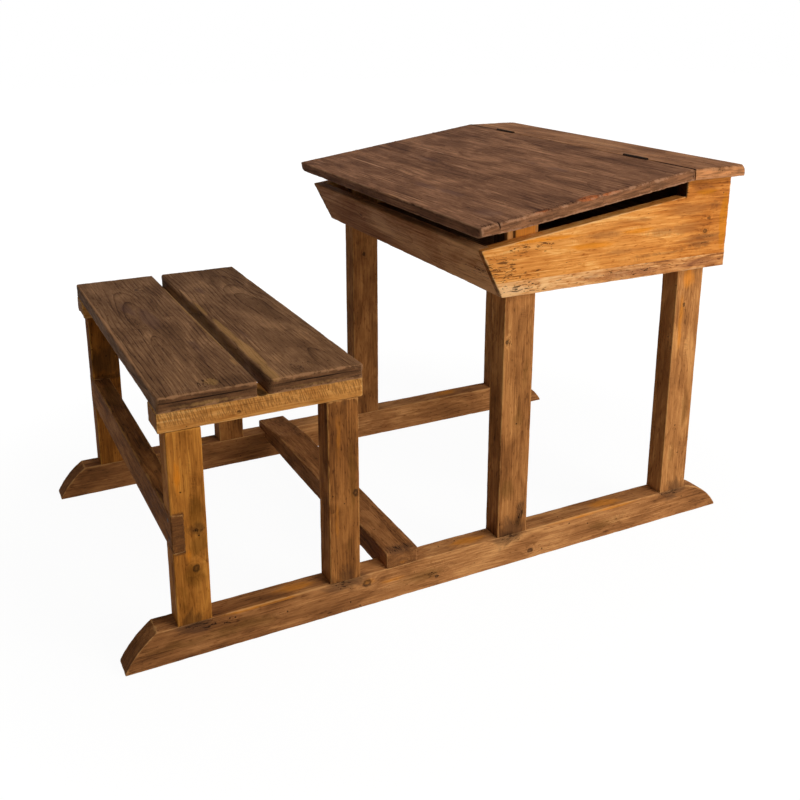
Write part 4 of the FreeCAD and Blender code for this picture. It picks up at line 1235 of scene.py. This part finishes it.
def make_planks():
    """Two seat planks, close enough that the walls of their gap stay square."""
    shared = {"wear": (0.8, 7.0), "groove": 0.15, "warp": 0.15, "dent": 0.2, "end_rub": 1.5}
    marks = on_top(SEAT_TOP, {
        "poor": [(325, -460, (40, 34), 0.8), (-40, -500, (120, 30), 0.5)],
        "shade": [(-37, -467, (110, 22), 1.0), (-118, -490, (80, 18), 0.9), (180, -430, (120, 12), 0.7)],
        "bare": [(322, -455, (26, 20), 0.7), (254, -396, (40, 6), 0.5), (0, -391, (400, 3), 1.0)],
        # painted highlight along the rear plank's rounded rear arris
        "pale": [(0, -546, (500, 4, 3), 0.9)],
    })
    marks["bare"].append((HALF_SEAT, -470, 445, (8, 110, 7), 0.6))
    marks["smear"] = [(HALF_SEAT, -470, 460, (8, 130, 8), 1.0), (0, -552, 450, (600, 5, 24), 0.9)]
    marks["packed"] = [(HALF_SEAT, -470, 454.5, (8, 140, 2.5), 0.8)]
    board("rear_seat_plank", oblong(*REAR_PLANK, BEARER_TOP, SEAT_TOP), (-HALF_SEAT, HALF_SEAT),
          "seat_wood", "X", arris=(1.2, 0.3, 0.4, 3.2), end_arris=(1.2, 1.2, 3.4, 2.0), joints=(1,),
          tone=0.46, heart=(14, -34), reshape=worn_ends((4.0, 3.0)), knots=[(-255, -445, SEAT_TOP, 3.5)],
          marks=marks, **shared)
    marks = on_top(SEAT_TOP, {
        "bare": [(-70, -362, (90, 7), 0.8), (84, -359, (120, 10), 1.0), (218, -356, (130, 13), 1.0),
                 (325, -358, (70, 12), 1.0)],
        "shade": [(-195, -327, (50, 18), 1.0), (127, -335, (60, 12), 0.7)],
        "poor": [(310, -300, (60, 40), 0.5)],
    })
    marks["bare"] += [(0, -372, 452, (500, 5, 30), 0.8), (HALF_SEAT, -290, 445, (8, 110, 7), 0.5)]
    marks["smear"] = [(HALF_SEAT, -290, 458, (8, 110, 5), 0.7)]
    marks["packed"] = [(HALF_SEAT, -290, 454.5, (8, 140, 2.5), 0.7)]
    board("front_seat_plank", oblong(*FRONT_PLANK, BEARER_TOP, SEAT_TOP), (-HALF_SEAT, HALF_SEAT),
          "seat_wood", "X", arris=(0.0, 1.2, 3.2, 5.0), end_arris=(0.8, 2.0, 3.4, 1.6), joints=(3,),
          tone=0.52, heart=(-30, 40), reshape=worn_ends((8.0, 2.5)), marks=marks, **shared)


def make_stretcher():
    """Its ends are thinned to lie in the legs' housings."""
    y0, y1, z0, z1 = STRETCHER
    shoulders = [cutting_block(*x_range, y0 + STRETCHER_END, y1 + 3, z0 - 3, z1 + 3)
                 for x_range in over_frames(3)]
    board("bench_stretcher", oblong(y0, y1, z0, z1), (-HALF_FRAME, HALF_FRAME), "frame_wood", "X",
          arris=(2.0, 0.5, 0.8, 2.5), end_arris=2.0, wear=(0.2, 4.0), groove=0.1, warp=0.0, dent=0.1,
          tone=0.28, warm=0.3, cutters=shoulders, end_rub=0.6, end_show=0.55,
          marks={"smear": [(HALF_FRAME, -528, 225, (8, 40, 60), 1.0)],
                 "shade": [(-200, -520, z1, (120, 30), 0.9), (60, -515, z1, (60, 20), 0.6)]})


def wear_footrest(points):
    """Lower the footrest's top towards its left end."""
    low = FOOTREST[2] * MM
    along_x = np.clip((-HALF_FRAME + FOOTREST_WEAR - points[:, 0] / MM) / FOOTREST_WEAR, 0, 1)
    height = (FOOTREST[3] - FOOTREST[2]) * MM
    worn = points.copy()
    worn[:, 2] = low + (points[:, 2] - low) * (1 - along_x * FOOTREST_DROP * MM / height)
    return worn


def make_footrest():
    """Its ends are notched over the runners."""
    y0, y1, z0, z1 = FOOTREST
    notches = [cutting_block(*x_range, y0 - 3, y1 + 3, z0 - 3, RUNNER_TOP) for x_range in over_frames(3)]
    board("footrest", oblong(y0, y1, z0, z1), (-HALF_FRAME, HALF_FRAME), "frame_wood", "X",
          arris=(0.4, 0.6, 2.0, 3.0), end_arris=(0.2, 2.0, 4.5, 1.6), wear=(0.8, 6.0), groove=0.3,
          warp=0.4, tone=(0.38, 0.38, 0.38, 0.36), end_rub=0.6, end_show=0.5, reshape=wear_footrest,
          cutters=notches,
          marks={"smear": [(HALF_FRAME, -131, 94, (44, 60, 14), 1.0)],
                 "poor": [(HALF_FRAME - 8, -131, 94, (20, 60, 8), 0.8)],
                 "bare": [(HALF_FRAME, -131, 70, (6, 50, 9), 0.35)],
                 "shade": [(40, -131, 94, (160, 20), 0.8)]})


def side_outline():
    return [
        (BOX_FOOT_Y, BOX_BOTTOM), (BOX_REAR_Y, BOX_BOTTOM), (BOX_REAR_Y, SHELF), (SHELF_FRONT_Y, SHELF),
        (SHELF_FRONT_Y, panel_step_z), (BOX_FRONT_Y, panel_front_z),
    ]


def front_outline():
    extra = front_reach * panel_slope / (1 + panel_slope * front_lean)
    return [
        (BOX_FOOT_Y, BOX_BOTTOM), (BOX_FOOT_Y + front_reach, BOX_BOTTOM),
        (BOX_FRONT_Y + front_reach - extra * front_lean, panel_front_z + extra),
        (BOX_FRONT_Y, panel_front_z),
    ]


def rebates():
    """Cutters for the housings of the front and back boards in both side panels."""
    return (
        cutting_prism(widened(front_outline(), BOX_FOOT_Y - 60), -REBATE, REBATE),
        cutting_block(-REBATE, REBATE, BOX_REAR_Y - BACK_THICKNESS, BOX_REAR_Y + OVERCUT,
                      BOX_BOTTOM - OVERCUT, SHELF + OVERCUT),
    )


def widened(outline, front_y):
    """The front board's outline run out past the front, the bottom and the top of the box."""
    (_, low_z), (inner_low, _), (inner_high, high_z), _ = outline
    lean = (inner_high - inner_low) / (high_z - low_z)
    low, high = low_z - OVERCUT, high_z + OVERCUT
    return [(front_y, low), (inner_low - OVERCUT * lean, low), (inner_high + OVERCUT * lean, high),
            (front_y, high)]


def make_side(side, sign):
    x_range = across(sign, HALF_FRAME, PANEL_OUTER)
    face = sign * PANEL_OUTER
    # Painted shade: packed-dirt marks darken the panel's and the strip's front faces, which face away from
    # the light.
    painted_shade_front_face = [(face - sign * 8, front_face_at(z) - 5, z, (6.5, 16, 40), 0.6)
                  for z in (556, 572, 588, 604, 620, 636, 650)]
    bottom, rear, shelf, step_top, step, front = side_outline()
    split_y = front_face_at(STRIP_TOP)
    marks = on_face(face, {
        "poor": [(44, 600, (54, 40), 1.0), (83, 630, (34, 16), 1.0), (130, 634, (30, 16), 0.9),
                 (80, 585, (90, 14), 0.9), (200, 592, (120, 14), 0.4), (500, 615, (60, 34), 0.5)],
        "smear": [(480, 598, (110, 12), 0.8), (524, 672, (40, 20), 0.7), (500, 612, (90, 8), 0.8),
                  (420, 590, (150, 7), 0.7), (500, 712, (60, 10), 0.7), (505, 625, (34, 24), 0.4)],
        "pale": [(60, 606, (50, 30), 0.25)],
        "shade": [(240, 640, (120, 10), 0.6), (330, 604, (140, 9), 0.7), (440, 632, (110, 18), 1.0),
                  (500, 610, (90, 16), 1.0), (470, 668, (120, 20), 0.8), (500, 705, (60, 14), 0.9),
                  (180, 612, (110, 8), 0.6), (350, 660, (90, 8), 0.6)],
        "bare": [(550, 640, (16, 80), 1.0), (500, 700, (50, 14), 0.6), (120, 645, (170, 7), 0.7),
                 (230, 622, (120, 12), 0.6), (330, 640, (90, 10), 0.55)],
    })
    # Painted shade on the panel's step face under the rail, in the lid's shadow.
    painted_shade_under_rail = (sign * (HALF_FRAME + 13), SHELF_FRONT_Y, 712, (4, 40, 40), 1.0)
    marks["packed"] = [*painted_shade_front_face, painted_shade_under_rail]
    upper = [(split_y, STRIP_TOP), (BOX_REAR_Y, STRIP_TOP), shelf, step_top, step, front]
    board(side + "_side_panel", upper, x_range, "panel_wood", "Y",
          arris=(0.4, 0.4, 0.6, 1.0, 0, 2.2), end_arris=(0.4, 1.6, 0.8, 0.8, 1.6, 2.0), joints=(0,),
          wear=(0.8, 7.0), groove=0.3, warp=0.3, dent=0.35, tone=(0.62, 0.66, 0.5, 0.34),
          heart=(46, 30 * sign), knots=[(face, 505, 623, 4), (face, 512, 648, 2.5)],
          marks=marks, cutters=rebates())
    marks = on_face(face, {
        "poor": [(90, 562, (90, 20), 0.8), (300, 562, (260, 20), 0.5)],
        "pale": [(60, 560, (80, 14), 0.6)],
        "smear": [(400, 575, (160, 4), 0.8)],
        "shade": [(330, 562, (160, 16), 0.8), (500, 562, (120, 16), 0.8)],
    })
    marks["packed"] = painted_shade_front_face
    lower = [bottom, rear, (BOX_REAR_Y, STRIP_TOP), (split_y, STRIP_TOP)]
    board(side + "_side_strip", lower, x_range, "strip_wood", "Y",
          arris=(2.2, 1.6, 0.4, 0.4), end_arris=(1.8, 1.6, 0.4, 2.0), wear=(0.8, 6.0), groove=0.25,
          joints=(2,), tone=(0.9, 0.58, 0.42), marks=marks, cutters=rebates())


def make_box():
    angle = math.atan(front_lean)
    lean = Vector((0, -math.sin(angle), math.cos(angle)))
    board("front_panel", front_outline(), (-REBATE, REBATE), "front_wood",
          (X_AXIS, tuple(lean), (0.0, lean.z, -lean.y)), arris=(1.2, 0.8, 1.6, 2.0), end_arris=0.5,
          wear=(0.8, 7.0), groove=0.25, warp=0.3, tone=(0.56, 0.6, 0.76, 1.0), knots=[(-150, 20, 600, 3)],
          marks={"poor": [(330, 25, 590, (80, 20), 0.8)], "shade": [(100, 15, 640, (200, 14), 0.8)]})
    inner = BOX_REAR_Y - BACK_THICKNESS
    board("back_panel", oblong(inner, BOX_REAR_Y, BOX_BOTTOM, SHELF), (-REBATE, REBATE),
          "inner_wood", (X_AXIS, Z_AXIS, Y_AXIS), arris=1.2, end_arris=0.6,
          knots=[(-90, BOX_REAR_Y, 640, 8), (180, BOX_REAR_Y, 600, 5)])
    outline = [(front_face_at(BOARD_LOW) + front_reach, BOARD_LOW), (inner, BOARD_LOW),
               (inner, BOARD_HIGH), (front_face_at(BOARD_HIGH) + front_reach, BOARD_HIGH)]
    notches = [cutting_block(*x_range, back, back + DESK_LEG, BOARD_LOW - OVERCUT, BOARD_HIGH + OVERCUT)
               for back in DESK_LEG_BACKS.values() for x_range in over_frames(OVERCUT)]
    board("bottom_board", outline, (-HALF_FRAME, HALF_FRAME), "inner_wood", "X", arris=0.6, end_arris=0.6,
          tone=0.45, knots=[(60, 300, BOARD_HIGH, 8), (-200, 180, BOARD_HIGH, 6)], cutters=notches)


def make_cleat(side, sign):
    board(side + "_bottom_cleat", oblong(*CLEAT_Y, BOX_BOTTOM, BOARD_LOW),
          across(sign, HALF_FRAME - CLEAT_WIDTH, HALF_FRAME), "inner_wood", "Y", arris=1.2, end_arris=1.0)


def knuckle_cutters():
    """Rods round both hinges' knuckles, cut from the two edges that meet at the joint."""
    rods = []
    for sign in (1, -1):
        blank = bmesh.new()
        bmesh.ops.create_cone(blank, cap_ends=True, segments=32, radius1=KNUCKLE_SPACE * MM,
                              radius2=KNUCKLE_SPACE * MM, depth=2 * HINGE_REACH * MM)
        place = Matrix.Translation(Vector((sign * HINGE_MIDDLE, HINGE_Y, HINGE_Z)) * MM)
        blank.transform(place @ Matrix.Rotation(math.radians(90), 4, "Y"))
        rods.append(finish_cutter("knuckle_rod", blank))
    return rods


def lift_front_corners(points, width=16.0, length=75.0, rise=5.5):
    """Wear away the under side of the lid at its two front corners."""
    x, y, z = np.abs(points[:, 0]) / MM, points[:, 1] / MM, points[:, 2] / MM
    near_end = np.clip((x - (HALF_TOP - width)) / width, 0, 1)
    near_front = np.clip(1 - (y - LID_FRONT_Y) / length, 0, 1)
    under = np.clip((lid_top_at(y) - z) / BOARD_THICKNESS, 0, 1)
    worn = points.copy()
    worn[:, 2] += rise * near_end ** 1.3 * near_front * under * MM
    return worn


def hinge_dirt_and_joint_shade(y):
    """(x, y, reach, strength) of the dirt round both hinges, and of painted shade along the joint outside
    them.
    """
    return [(sign * x, y, (reach, 5), 1.0)
            for x, reach in ((HINGE_MIDDLE, 50), (370, 100)) for sign in (1, -1)]


def make_rail():
    board("hinge_rail", oblong(RAIL_FRONT_Y, RAIL_BACK_Y, SHELF, TOP), (-HALF_TOP, HALF_TOP),
          "rail_wood", "X", arris=(0.6, 1.6, 7.0, 1.2), end_arris=(1.6, 1.6, 6.0, 0.6), joints=(3,),
          wear=(0.7, 7.0), groove=0.25, warp=0.3, tone=0.52, cutters=knuckle_cutters(), heart=(20, -70),
          reshape=blunt_rear_corners, end_rub=1.8,
          marks=on_top(TOP, {
              "smear": hinge_dirt_and_joint_shade(RAIL_FRONT_Y),
              # painted shade along the joint with the lid
              "packed": [(sign * 360, RAIL_FRONT_Y, (110, 3), 1.0) for sign in (1, -1)],
              "poor": [(398, 500, (20, 40), 0.6)],
              "shade": [(100, 500, (200, 26), 0.6)],
          }))


def make_lid():
    """Edge-glued boards.  They share one set of marks, so a mark near a joint runs across it."""
    width = (lid_length - FIRST_BOARD) / (BOARD_COUNT - 1)
    lie = (X_AXIS, (0.0, pitch_cos, pitch_sin), (0.0, -pitch_sin, pitch_cos))
    tones = (0.5, 0.52, 0.44, 0.5, 0.47)
    hearts = ((10, 40), (35, -55), (-28, -48), (12, 62), (-40, -70))
    places = {
        "pale": [(-235, 80, (150, 3.5), 0.9), (-230, 231, (150, 3), 0.8), (0, 188, (90, 7), 0.5),
                 (192, 116, (60, 14), 0.4)],
        "bare": [(400, 204, (17, 34, 7), 1.0), (404, 250, (7, 34, 6), 1.0), (403, 108, (7, 28, 4), 0.8),
                 (HALF_TOP + 2, 300, (12, 70, 7), 0.35)],
        # The first two packed-dirt marks are painted shade along the joint with the rail; the third is the
        # dark first joint at the near end.
        "packed": [(360, LID_BACK_Y, (110, 3.5), 1.0), (-360, LID_BACK_Y, (110, 3.5), 1.0),
                   (HALF_TOP, LID_FRONT_Y + FIRST_BOARD * pitch_cos, (10, 2, 16), 1.0)],
        "shade": [(61, 65, (90, 16), 1.0), (152, 70, (70, 14), 1.0), (50, 294, (90, 14), 0.9),
                  (193, 293, (80, 12), 0.9), (-150, 180, (120, 16), 0.7), (330, 40, (60, 30), 0.8)],
        "poor": [(396, y, (12, 40), 0.9) for y in (10, 60, 110, 160, 210)],
        "smear": hinge_dirt_and_joint_shade(LID_BACK_Y),
    }
    marks = {label: [(x, y, lid_top_at(y), *rest) for x, y, *rest in spots]
             for label, spots in places.items()}
    for index in range(BOARD_COUNT):
        start = 0.0 if index == 0 else FIRST_BOARD + (index - 1) * width
        end = FIRST_BOARD + index * width
        outline = [lid_point(start, BOARD_THICKNESS), lid_point(end, BOARD_THICKNESS),
                   lid_point(end, 0), lid_point(start, 0)]
        corner, rim, joints, cutters = [0.1, 0.1, 0.15, 0.15], [1.6, 0.05, 5.5, 0.05], (1, 3), ()
        if index == 0:
            corner, rim, joints = [1.6, 0.3, 0.5, 3.5], [1.6, 0.3, 5.5, 3.0], (1,)
        if index == BOARD_COUNT - 1:
            corner, rim = [0.1, 0.6, 1.2, 0.15], [1.6, 0.6, 5.5, 0.05]
            outline[1], outline[2] = (LID_BACK_Y, lid_under_at(LID_BACK_Y)), (LID_BACK_Y, TOP)
            cutters = knuckle_cutters()
        board("lid_board_{}".format(index + 1), outline, (-HALF_TOP, HALF_TOP), "lid_wood", lie,
              arris=corner, end_arris=rim, joints=joints, wear=(0.9, 7.0), groove=0.3, warp=0.25,
              dent=0.3, tone=tones[index], heart=hearts[index], cutters=cutters, marks=marks,
              end_rub=1.3, reshape=lift_front_corners if index < 2 else None)


def make_batten(side, sign):
    lie = ((0.0, pitch_cos, pitch_sin), X_AXIS, (0.0, -pitch_sin, pitch_cos))
    low, high = BOARD_THICKNESS + BATTEN_THICKNESS, BOARD_THICKNESS
    start, end = BATTEN_START, lid_length - BATTEN_SHORT
    outline = [lid_point(start, low), lid_point(end, low), lid_point(end, high), lid_point(start, high)]
    board(side + "_lid_batten", outline, across(sign, *BATTEN_X), "inner_wood", lie,
          arris=(3.0, 3.0, 0.6, 0.6), end_arris=(2.5, 2.5, 0.6, 0.6))


both(make_runner)
both(make_bench_legs)
both(make_desk_legs)
both(make_bearer)
make_planks()
make_stretcher()
make_footrest()
both(make_side)
make_box()
both(make_cleat)
make_rail()
make_lid()
both(make_batten)


# ---------------------------------------------------------------- screws, brads and dowels


def make_fastener_tree():
    """Geometry nodes that turn points into slotted screws along their drive direction."""
    tree, given, out = new_group(
        "driven fasteners", "GeometryNodeTree",
        [
            ("Places", GEOMETRY, None), ("Length", FLOAT, 0.04), ("Shank Radius", FLOAT, 0.002),
            ("Head Radius", FLOAT, 0.004), ("Point Length", FLOAT, 0.002), ("Slot Width", FLOAT, 0.0009),
            ("Slot Depth", FLOAT, 0.001), ("Turn Seed", "NodeSocketInt", 5), ("Finish", MATERIAL, None),
        ],
        [("Fasteners", GEOMETRY)],
    )
    length, shank, head = given["Length"], given["Shank Radius"], given["Head Radius"]
    line = tree.add("GeometryNodeCurvePrimitiveLine", None, {"End": tree.axes(0.0, 0.0, length)})
    sink, point = head - shank, given["Point Length"]
    profile = [(0.0, head * 0.95), (sink * 0.08, head), (sink, shank), (length * 0.5, shank),
               (length - point, shank), (length - point * 0.15, shank * 0.35), (length, shank * 0.25)]
    stops = tree.add("GeometryNodeResampleCurve", {"mode": "COUNT"},
                     {"Curve": line[0], "Count": len(profile)})
    index = tree.add("GeometryNodeInputIndex")[0]
    at = profile[0]
    for step in range(1, len(profile)):
        past = tree.math("GREATER_THAN", index, step - 0.5)
        at = [tree.add("ShaderNodeMix", {"data_type": "FLOAT"}, {0: past, 2: current, 3: following})[0]
              for current, following in zip(at, profile[step])]
    depth, radius = at
    spread = tree.add("GeometryNodeSetPosition", None,
                      {"Geometry": stops[0], "Position": tree.axes(0.0, 0.0, depth)})
    ring = tree.add("GeometryNodeCurvePrimitiveCircle", None, {"Resolution": 14, "Radius": 1.0})
    body = tree.add("GeometryNodeCurveToMesh", None,
                    {"Curve": spread[0], "Profile Curve": ring[0], "Fill Caps": True, "Scale": radius})
    slot_size = tree.axes(head * 2.4, given["Slot Width"], given["Slot Depth"] * 2.0)
    slot = tree.add("GeometryNodeMeshCube", None, {"Size": slot_size})
    slotted = tree.add("GeometryNodeMeshBoolean", {"operation": "DIFFERENCE", "solver": "MANIFOLD"},
                       {"Mesh 1": body[0], "Mesh 2": slot[0]})
    facing = tree.add("FunctionNodeAlignRotationToVector", {"axis": "Z"},
                      {"Vector": tree.named("drive", "FLOAT_VECTOR")})
    turn = tree.add("FunctionNodeRandomValue", {"data_type": "FLOAT"},
                    {2: 0.0, 3: math.pi, "Seed": given["Turn Seed"]})
    spin = tree.add("FunctionNodeAxisAngleToRotation", None, {"Axis": Z_AXIS, "Angle": turn[1]})
    rotation = tree.add("FunctionNodeRotateRotation", {"rotation_space": "LOCAL"},
                        {"Rotation": facing[0], "Rotate By": spin[0]})
    driven = tree.add("GeometryNodeInstanceOnPoints", None,
                      {"Points": given["Places"], "Instance": slotted[0], "Rotation": rotation[0]})
    out["Fasteners"] = coated(tree, driven[0], given["Finish"])
    return tree.data


def separate_solids(node):
    """Points of each closed solid in a CAD node."""
    merged = bmesh.new()
    merged.from_mesh(frame["nodes"][node].data)
    bmesh.ops.remove_doubles(merged, verts=merged.verts, dist=WELD)
    left, solids = set(merged.verts), []
    while left:
        group, queue = [], [next(iter(left))]
        left.discard(queue[0])
        while queue:
            vertex = queue.pop()
            group.append(vertex.co[:])
            for edge in vertex.link_edges:
                other = edge.other_vert(vertex)
                if other in left:
                    left.discard(other)
                    queue.append(other)
        solids.append(np.array(sorted(group)))
    merged.free()
    return sorted(solids, key=lambda solid: tuple(solid.mean(0).round(6)))


def read_fastener(solid):
    """Head centre, drive direction, length and head radius of one fastener."""
    middle = (solid.max(0) + solid.min(0)) / 2
    axis = np.linalg.svd(solid - solid.mean(0))[2][0]
    along = (solid - middle) @ axis
    radial = np.linalg.norm(solid - middle - along[:, None] * axis, axis=1)
    low, high = along.min(), along.max()
    ends = [radial[along < low + FLAT].max(), radial[along > high - FLAT].max()]
    if ends[1] > ends[0] + WELD or (abs(ends[1] - ends[0]) < WELD and axis[1] < 0):
        axis, ends = -axis, ends[::-1]
        low, high = -high, -low
    return middle + axis * low, axis, high - low, ends[0]


fastener_tree = make_fastener_tree()


def make_screws(node, finish):
    """Slotted screws in place of a CAD node's, all of one size."""
    heads, drives, lengths, radii = zip(*[read_fastener(solid) for solid in separate_solids(node)])
    head = radii[0]
    mesh = bpy.data.meshes.new(node + "_places")
    mesh.from_pydata(np.array(heads), [], [])
    put_attribute(mesh, "drive", "FLOAT_VECTOR", np.array(drives))
    values = {
        "Length": float(lengths[0]), "Shank Radius": float(head / 2), "Head Radius": float(head),
        "Point Length": float(head / 2), "Slot Width": float(head * 0.24),
        "Slot Depth": float(head * 0.28), "Turn Seed": SCREW_SEED, "Finish": finishes[finish],
    }
    piece = grow(mesh, "driven_" + node, fastener_tree, values)
    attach(piece, frame["nodes"][node]["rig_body"])
    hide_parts(node)


def coat(node, finish):
    """Put a finish on a CAD mesh that stays as it is."""
    materials = frame["nodes"][node].data.materials
    materials.clear()
    materials.append(finishes[finish])


for screws in ("hinge_rail_screws", "hinge_lid_screws", "side_screws", "seat_screws", "cleat_screws",
               "bottom_screws", "batten_screws", "back_panel_screws", "stretcher_screws",
               "footrest_screws"):
    make_screws(screws, "screw_steel")

coat("front_panel_brads", "screw_steel")
coat("rail_dowels", "dowel_wood")
for side in ("right", "left"):
    for part in ("hinge_pin", "hinge_rail_leaf", "hinge_lid_leaf"):
        coat(side + "_" + part, "blackened_steel")


# ---------------------------------------------------------------- floor, light and camera

WHITE = (1.0, 1.0, 1.0, 1.0)
FLOOR_REACH = 12.0                             # metres from the middle to each side


def seen_by_camera(tree):
    """1 where a ray comes from the camera, straight or by a mirror or glass, and 0 for other light."""
    rays = tree.add("ShaderNodeLightPath")
    mirrored = tree.math("MAXIMUM", rays["Is Glossy Ray"], rays["Is Transmission Ray"])
    return tree.math("MAXIMUM", rays["Is Camera Ray"], mirrored)


def make_floor():
    """Pale floor that fades to white away from the desk and keeps its soft shadow."""
    material = bpy.data.materials.new("pale floor")
    tree = cleared_tree(material)
    place = tree.add("ShaderNodeTexCoord")["Object"]
    away = tree.add("ShaderNodeVectorMath", {"operation": "LENGTH"}, {0: place})["Value"]
    matt = tree.add("ShaderNodeBsdfDiffuse", None, {"Color": stain(208, 205, 200)})
    white = tree.add("ShaderNodeEmission", None, {"Color": WHITE, "Strength": 1.06})
    share = seen_by_camera(tree) * tree.span(away, 0.7, 1.6, 0.9, 1.0)
    blend = tree.add("ShaderNodeMixShader", None, {0: share, 1: matt[0], 2: white[0]})
    tree.add("ShaderNodeOutputMaterial")[0] = blend[0]
    mesh = bpy.data.meshes.new("floor")
    corners = [(x * FLOOR_REACH, y * FLOOR_REACH, 0) for x, y in oblong(-1, 1, -1, 1)]
    mesh.from_pydata(corners, [], [(0, 1, 2, 3)])
    mesh.materials.append(material)
    floor = new_object("floor", mesh)


def make_world():
    world = bpy.data.worlds.new("studio")
    bpy.context.scene.world = world
    tree = cleared_tree(world)
    strength = tree.span(seen_by_camera(tree), 0.0, 1.0, 0.11, 1.0)
    sky = tree.add("ShaderNodeBackground", None, {"Color": WHITE, "Strength": strength})
    tree.add("ShaderNodeOutputWorld")[0] = sky[0]


def make_softbox(name, place, aim, size, energy):
    data = bpy.data.lights.new(name, "AREA")
    data.shape, data.size, data.size_y, data.energy = "RECTANGLE", size[0], size[1], energy
    lamp = new_object(name, data)
    lamp.location = place
    lamp.rotation_euler = (Vector(aim) - Vector(place)).to_track_quat("-Z", "Y").to_euler()


def make_camera():
    """Standing at the bench's near corner, looking a little down at the desk."""
    right = Vector((0.4617, 0.887, 0.0048))
    up = Vector((-0.247, 0.1234, 0.9611))
    back = Vector((0.8519, -0.445, 0.276))
    data = bpy.data.cameras.new("camera")
    data.lens, data.sensor_width = 43.88, 36.0
    data.shift_x, data.shift_y = -0.0156, -0.1375
    camera = new_object("camera", data)
    turn = Matrix((right, up, back)).transposed().to_4x4()
    camera.matrix_world = Matrix.Translation((1.7375, -0.8375, 1.0272)) @ turn
    bpy.context.scene.camera = camera


make_floor()
make_world()
make_softbox("right_softbox", (2.6, 1.6, 1.5), (0.1, 0.1, 0.4), (1.8, 1.8), 79.0)
make_softbox("top_softbox", (0.2, 0.2, 3.0), (0.0, 0.0, 0.4), (2.4, 2.4), 30.0)
make_softbox("left_softbox", (1.4, -2.6, 1.4), (0.0, 0.0, 0.4), (1.6, 1.6), 3.0)
make_camera()

bpy.context.scene.view_settings.view_transform = "Standard"


def plain(bounds):
    return [[float(value) for value in corner] for corner in bounds]
